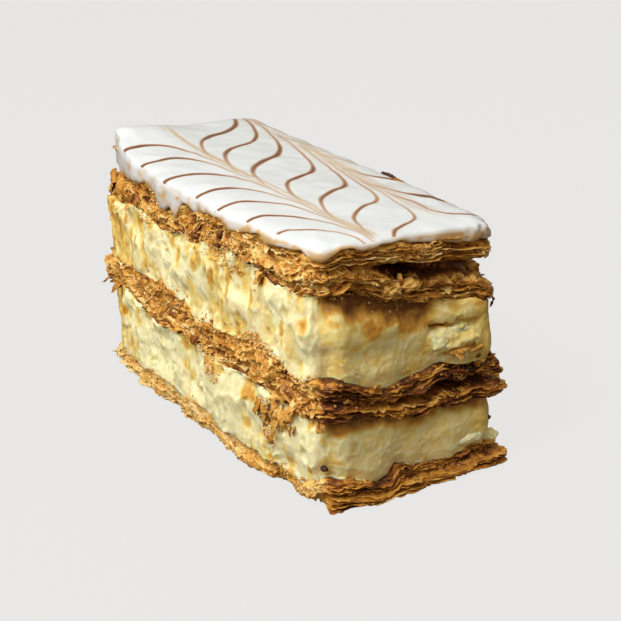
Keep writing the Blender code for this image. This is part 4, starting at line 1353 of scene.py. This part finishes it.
def icing_material(*colours):
    """Poured fondant: sugar syrup worked to fine crystals, set with a satin skin. A little cocoa fondant
    is piped across it in lines and combed through. The attribute line is the distance from a line's
    edge in millimetres, negative inside it, faded how pale the line has become, streak how much a comb
    smeared it and stain how much pastry shows through the thin lip. Each line has a fringe, then its
    full brown further in, and both turn to tan where it is faded."""
    material, tree, output = new_material("Poured fondant icing")
    white, brown, fringe, tan, soaked = ((*colour, 1.0) for colour in colours)
    line, faded, streak, stain = (
        add(tree, "ShaderNodeAttribute", attribute_name=key).outputs["Fac"]
        for key in ("line", "faded", "streak", "stain")
    )
    combed = add(tree, "ShaderNodeMix", [(0, streak), (6, white), (7, tan)], data_type="RGBA").outputs[2]
    colour = add(tree, "ShaderNodeMix", [(0, stain), (6, combed), (7, soaked)], data_type="RGBA").outputs[2]
    for paint, start, end in ((fringe, 0.38, -0.02), (brown, 0.04, -0.30)):
        reach = [("Value", line), ("From Min", start), ("From Max", end)]
        laid = add(tree, "ShaderNodeMapRange", reach, interpolation_type="SMOOTHSTEP").outputs["Result"]
        pale = add(tree, "ShaderNodeMix", [(0, faded), (6, paint), (7, tan)], data_type="RGBA").outputs[2]
        colour = add(tree, "ShaderNodeMix", [(0, laid), (6, colour), (7, pale)], data_type="RGBA").outputs[2]
    glow = {"Subsurface_Weight": 0.2, "Subsurface_Radius": (1.2, 1.1, 1.0), "Subsurface_Scale": 0.7 * MM}
    links = [("Base Color", colour)]
    shader = add(tree, "ShaderNodeBsdfPrincipled", links, Roughness=0.32, IOR=1.46, **glow)
    tree.links.new(shader.outputs[0], output.inputs["Surface"])
    return material


def board_material(colour, glow):
    """Matt painted board under even light: a pale surface with only a faint soft shadow."""
    material, tree, output = new_material("Pale matt board")
    paint = add(tree, "ShaderNodeBsdfDiffuse", Color=(*colour, 1.0))
    light = add(tree, "ShaderNodeEmission", Color=(*colour, 1.0), Strength=1.0)
    mixed = add(tree, "ShaderNodeMixShader", [(1, paint.outputs[0]), (2, light.outputs[0])], Fac=glow)
    tree.links.new(mixed.outputs[0], output.inputs["Surface"])
    return material


# --- Stage and settings ---

# In metres and radians. The even light falls off downwards: height share and colour, as linear values.
BOARD_REACH = 3.0
BOARD_GLOW = 0.96
SKY = [(0.0, (0.18, 0.15, 0.10)), (0.45, (0.36, 0.31, 0.22)), (1.0, (1.0, 0.93, 0.78))]
KEY_SIZE = 0.30
KEY_COLOUR = (1.0, 0.99, 0.97)
KEY_PLACE = (-0.285, -0.085, 0.395)
KEY_TARGET = (0, 0, 0.03)
CAMERA_PLACE = (-0.160419, -0.288096, 0.156393)
CAMERA_LOOK = (0.465768, 0.800699, -0.376752)
CAMERA_ROLL = -0.0549393


def colour_setting(name, description, code):
    """A colour a user can change, from its hex code."""
    return FloatVectorProperty(
        name=name, description=description, subtype="COLOR", min=0, max=1, default=linear(code)
    )


class PastryFinish(bpy.types.PropertyGroup):
    """Sizes and colours of the pastry."""

    pitch: FloatProperty(name="Leaf pitch", description="Leaf height in millimetres", default=0.58, min=0.3)
    # Painted shade: the near-black colour at the bottom of the tone ramp paints the shade in the gaps
    # between leaves.
    gap: colour_setting("Gap", "Between leaves", "#361604")
    brown: colour_setting("Brown", "Well baked leaf", "#824611")
    golden: colour_setting("Golden", "Leaf side", "#c2852c")
    pale: colour_setting("Pale", "Inner crumb", "#e3b35e")
    dry: colour_setting("Dry", "Dry leaf edge", "#f4d898")
    flakes: IntProperty(name="Flakes", description="Number of loose flakes", default=1250, min=0)
    crumbs: IntProperty(name="Crumbs", description="Number of crumbs on the pastry", default=5600, min=0)
    curls: IntProperty(name="Curls", description="Number of curled flaps of leaf", default=380, min=0)


class CreamFinish(bpy.types.PropertyGroup):
    """Colours of the cream."""

    clean: colour_setting("Clean", "Fresh cut cream", "#f7eec0")
    yolk: colour_setting("Yolk", "Richer cream", "#ecd078")
    amber: colour_setting("Amber", "Soaked cream", "#d39a3c")
    brown: colour_setting("Brown", "Smear of browned leaf", "#7c4812")


class IcingFinish(bpy.types.PropertyGroup):
    """Colours of the icing."""

    white: colour_setting("White", "Fondant", "#dadfe4")
    brown: colour_setting("Brown", "Cocoa fondant", "#6f4630")
    fringe: colour_setting("Fringe", "Thin edge of the cocoa fondant", "#b98f70")
    tan: colour_setting("Tan", "Combed cocoa fondant", "#ccb8a0")
    soaked: colour_setting("Soaked", "Thin lip over pastry", "#c9a36c")


class StageSettings(bpy.types.PropertyGroup):
    """Light, floor and camera."""

    floor: colour_setting("Floor", "Board", "#e8e7e5")
    key: FloatProperty(
        name="Key light", description="Power of the light at -X", default=2.55, min=0, unit="POWER"
    )
    fill: FloatProperty(name="Fill", description="Strength of the even light", default=0.62, min=0)
    lens: FloatProperty(name="Lens", description="Focal length", default=92.754, min=10, unit="CAMERA")


# --- Operators ---


class MILLE_OT_pastry(bpy.types.Operator):
    """Build the three slabs of puff pastry, each a wall of crumb and leaf edges with thin leaves in it"""

    bl_idname = "mille.pastry"
    bl_label = "Puff pastry"

    def execute(self, context):
        finish = context.scene.mille_pastry
        colours = (finish.gap, finish.brown, finish.golden, finish.pale, finish.dry)
        material = pastry_material("Baked puff pastry", list(zip((0.0, 0.26, 0.50, 0.74, 1.0), colours)))
        for name, counts in STACKS.items():
            layer = NAMES.index(name)
            band, tone = pastry_wall(layer, finish.pitch)
            put_band(f"{name}_crumb", band, material, {"tone": tone}, (name,))
            points, faces, tone = leaf_stack(layer, counts)
            put_mesh(f"{name}_leaves", points, faces, material, {"tone": tone})
        return {"FINISHED"}


class MILLE_OT_cream(bpy.types.Operator):
    """Build the two bands of pastry cream"""

    bl_idname = "mille.cream"
    bl_label = "Pastry cream"

    def execute(self, context):
        finish = context.scene.mille_cream
        colours = (finish.clean, finish.yolk, finish.amber, finish.brown)
        material = cream_material(list(zip((0.0, 0.26, 0.58, 0.9), colours)))
        for name in SLUMP:
            band, stain = cream_band(NAMES.index(name))
            put_band(f"{name}_cut", band, material, {"stain": stain}, (name,))
        return {"FINISHED"}


class MILLE_OT_icing(bpy.types.Operator):
    """Build the lid of feathered icing"""

    bl_idname = "mille.icing"
    bl_label = "Feathered icing"

    def execute(self, context):
        finish = context.scene.mille_icing
        colours = (finish.white, finish.brown, finish.fringe, finish.tan, finish.soaked)
        material = icing_material(*colours)
        band, line, faded, streak, thin = icing_lid()
        attributes = {"line": line, "faded": faded, "streak": streak, "stain": thin}
        put_band("icing_feathered", band, material, attributes, ("icing",))
        return {"FINISHED"}


class MILLE_OT_flakes(bpy.types.Operator):
    """Scatter crumbs and torn flakes on the slabs and the cream, and add the curled leaves, the hanging
    flaps and the lumps of cream and crumb"""

    bl_idname = "mille.flakes"
    bl_label = "Flakes and crumbs"

    def execute(self, context):
        material = bpy.data.materials["Baked puff pastry"]
        settings = context.scene.mille_pastry
        rng = np.random.default_rng(5)
        slabs = [pastry_wall(NAMES.index(name), settings.pitch)[0] for name in BUNDLES]
        creams = [cream_band(NAMES.index(name))[0] for name in SLUMP]
        surface = np.concatenate([band.points()[::2] for band in (*slabs, *creams, icing_lid()[0])])

        def put(name, points, faces, tones, each):
            """Makes one piece of pastry bits from a tone for each bit."""
            tone = np.repeat(tones, each)
            put_mesh(name, points, faces, material, {"tone": tone})

        on_slabs, on_cream = CRUMB_SHARES
        places, _ = spread(rng, slabs, settings.crumbs, on_slabs, crumbly, 0.05)
        stuck, _ = spread(rng, creams, settings.crumbs * CRUMBS_ON_CREAM, on_cream, beside_slabs, 0.02)
        places = np.concatenate((places, stuck))
        points, faces, each = lumps(rng, places, 0.18 + 0.30 * rng.random(len(places)) ** 2)
        tone = rng.normal(0.72, 0.16, len(places))
        tone[: -len(stuck)] -= 0.30 * (places[: -len(stuck), 1] < NEAR_FACE)
        put("fine_crumbs", points, faces, np.clip(tone, 0.1, 1.0), each)

        on_slabs, on_cream = FLAKE_SHARES
        places, out = spread(rng, slabs, settings.flakes, on_slabs, crumbly, 0.1)
        total = settings.flakes * FLAKES_ON_CREAM
        stuck, stuck_out = spread(rng, creams, total, on_cream, beside_slabs, 0.05)
        places, out = np.concatenate((places, stuck)), np.concatenate((out, stuck_out))
        sizes = 0.32 + 0.62 * rng.random(len(places)) ** 2.4
        points, faces, each = flakes(rng, places, out, sizes, 0.1)
        put("loose_flakes", points, faces, np.clip(rng.normal(0.62, 0.17, len(places)), 0.1, 0.95), each)

        places, out = spread(rng, slabs, settings.curls, CURL_SHARES, all_round, 0.0)
        count = len(places)
        lengths = 1.4 + 2.0 * rng.random(count) ** 1.5
        widths = 0.6 + 1.4 * rng.random(count) ** 1.5
        bends = rng.normal(0, 0.9, count)
        centres = places - out * (lengths * 0.70)[:, None]
        points, faces, each = curled_leaves(rng, centres, out, lengths, widths, bends)
        put("curled_leaves", points, faces, np.clip(rng.normal(0.52, 0.16, count), 0.1, 0.95), each)

        put("hanging_flaps", *hanging_flaps(rng, surface))

        for name, key, finish, slot, rough in (
            ("cream_lumps", "stain", "Vanilla pastry cream", "vanilla_cream", 0.3),
            ("crumb_lumps", "tone", "Baked puff pastry", "browned_pastry", 0.42),
        ):
            middles, halves, values = (np.array(column) for column in zip(*LUMPS[name]))
            points, faces, each = boulders(seated(middles, surface, 0.4), halves, 9, rough)
            values = np.repeat(values, each)
            put_mesh(name, points, faces, bpy.data.materials[finish], {key: values})
        return {"FINISHED"}


class MILLE_OT_stage(bpy.types.Operator):
    """Set the floor, the light and the camera"""

    bl_idname = "mille.stage"
    bl_label = "Floor, light and camera"

    def execute(self, context):
        settings = context.scene.mille_stage
        scene = context.scene
        scene.view_settings.view_transform = "Standard"
        scene.view_settings.look = "None"
        mesh = bpy.data.meshes.new("floor")
        corners = [(x * BOARD_REACH, y * BOARD_REACH, 0) for x, y in ((-1, -1), (1, -1), (1, 1), (-1, 1))]
        mesh.from_pydata(corners, [], [(0, 1, 2, 3)])
        mesh.materials.append(board_material(tuple(settings.floor), BOARD_GLOW))
        floor = bpy.data.objects.new("floor", mesh)
        scene.collection.objects.link(floor)
        floor.visible_diffuse = False
        floor.visible_glossy = False

        world = bpy.data.worlds.new("Even light")
        world.use_nodes = True
        tree = world.node_tree
        ray = add(tree, "ShaderNodeTexCoord").outputs["Generated"]
        height = add(tree, "ShaderNodeSeparateXYZ", [("Vector", ray)]).outputs["Z"]
        background = tree.nodes["Background"]
        level = weighted(tree, 0.5, ((height, 0.5),))
        colour = add(tree, "ShaderNodeValToRGB", [("Fac", level)], SKY).outputs["Color"]
        tree.links.new(colour, background.inputs["Color"])
        background.inputs["Strength"].default_value = settings.fill
        scene.world = world

        lamp = bpy.data.lights.new("key", "AREA")
        lamp.shape = "RECTANGLE"
        lamp.size = KEY_SIZE
        lamp.size_y = KEY_SIZE
        lamp.energy = settings.key
        lamp.color = KEY_COLOUR
        key = bpy.data.objects.new("key", lamp)
        key.location = KEY_PLACE
        key.rotation_euler = (Vector(KEY_TARGET) - key.location).to_track_quat("-Z", "Y").to_euler()
        scene.collection.objects.link(key)

        camera = bpy.data.objects.new("camera", bpy.data.cameras.new("camera"))
        camera.data.sensor_width = 36
        camera.data.lens = settings.lens
        camera.data.clip_start = 0.01
        camera.location = CAMERA_PLACE
        look = Vector(CAMERA_LOOK).to_track_quat("-Z", "Y")
        camera.rotation_mode = "QUATERNION"
        camera.rotation_quaternion = look @ Quaternion((0, 0, 1), CAMERA_ROLL)
        scene.collection.objects.link(camera)
        scene.camera = camera
        return {"FINISHED"}


class MILLE_PT_panel(bpy.types.Panel):
    """Lists the steps that build the slice"""

    bl_idname = "MILLE_PT_panel"
    bl_label = "Mille feuille slice"
    bl_space_type = "VIEW_3D"
    bl_region_type = "UI"
    bl_category = "Pastry"

    def draw(self, context):
        for operator in OPERATORS:
            self.layout.operator(operator.bl_idname)


GROUPS = {
    "mille_pastry": PastryFinish,
    "mille_cream": CreamFinish,
    "mille_icing": IcingFinish,
    "mille_stage": StageSettings,
}
OPERATORS = (MILLE_OT_pastry, MILLE_OT_cream, MILLE_OT_icing, MILLE_OT_flakes, MILLE_OT_stage)


def register():
    """Adds the classes, and the settings to every scene."""
    for kind in (*GROUPS.values(), *OPERATORS, MILLE_PT_panel):
        bpy.utils.register_class(kind)
    for name, group in GROUPS.items():
        setattr(bpy.types.Scene, name, PointerProperty(type=group))


def unregister():
    """Takes the settings and the classes away again."""
    for name in GROUPS:
        delattr(bpy.types.Scene, name)
    for kind in (MILLE_PT_panel, *reversed(OPERATORS), *GROUPS.values()):
        bpy.utils.unregister_class(kind)


def main():
    """Registers the classes, then runs each step to build the slice and its stage."""
    register()
    for operator in OPERATORS:
        group, name = operator.bl_idname.split(".")
        getattr(getattr(bpy.ops, group), name)()


if __name__ == "__main__":
    main()
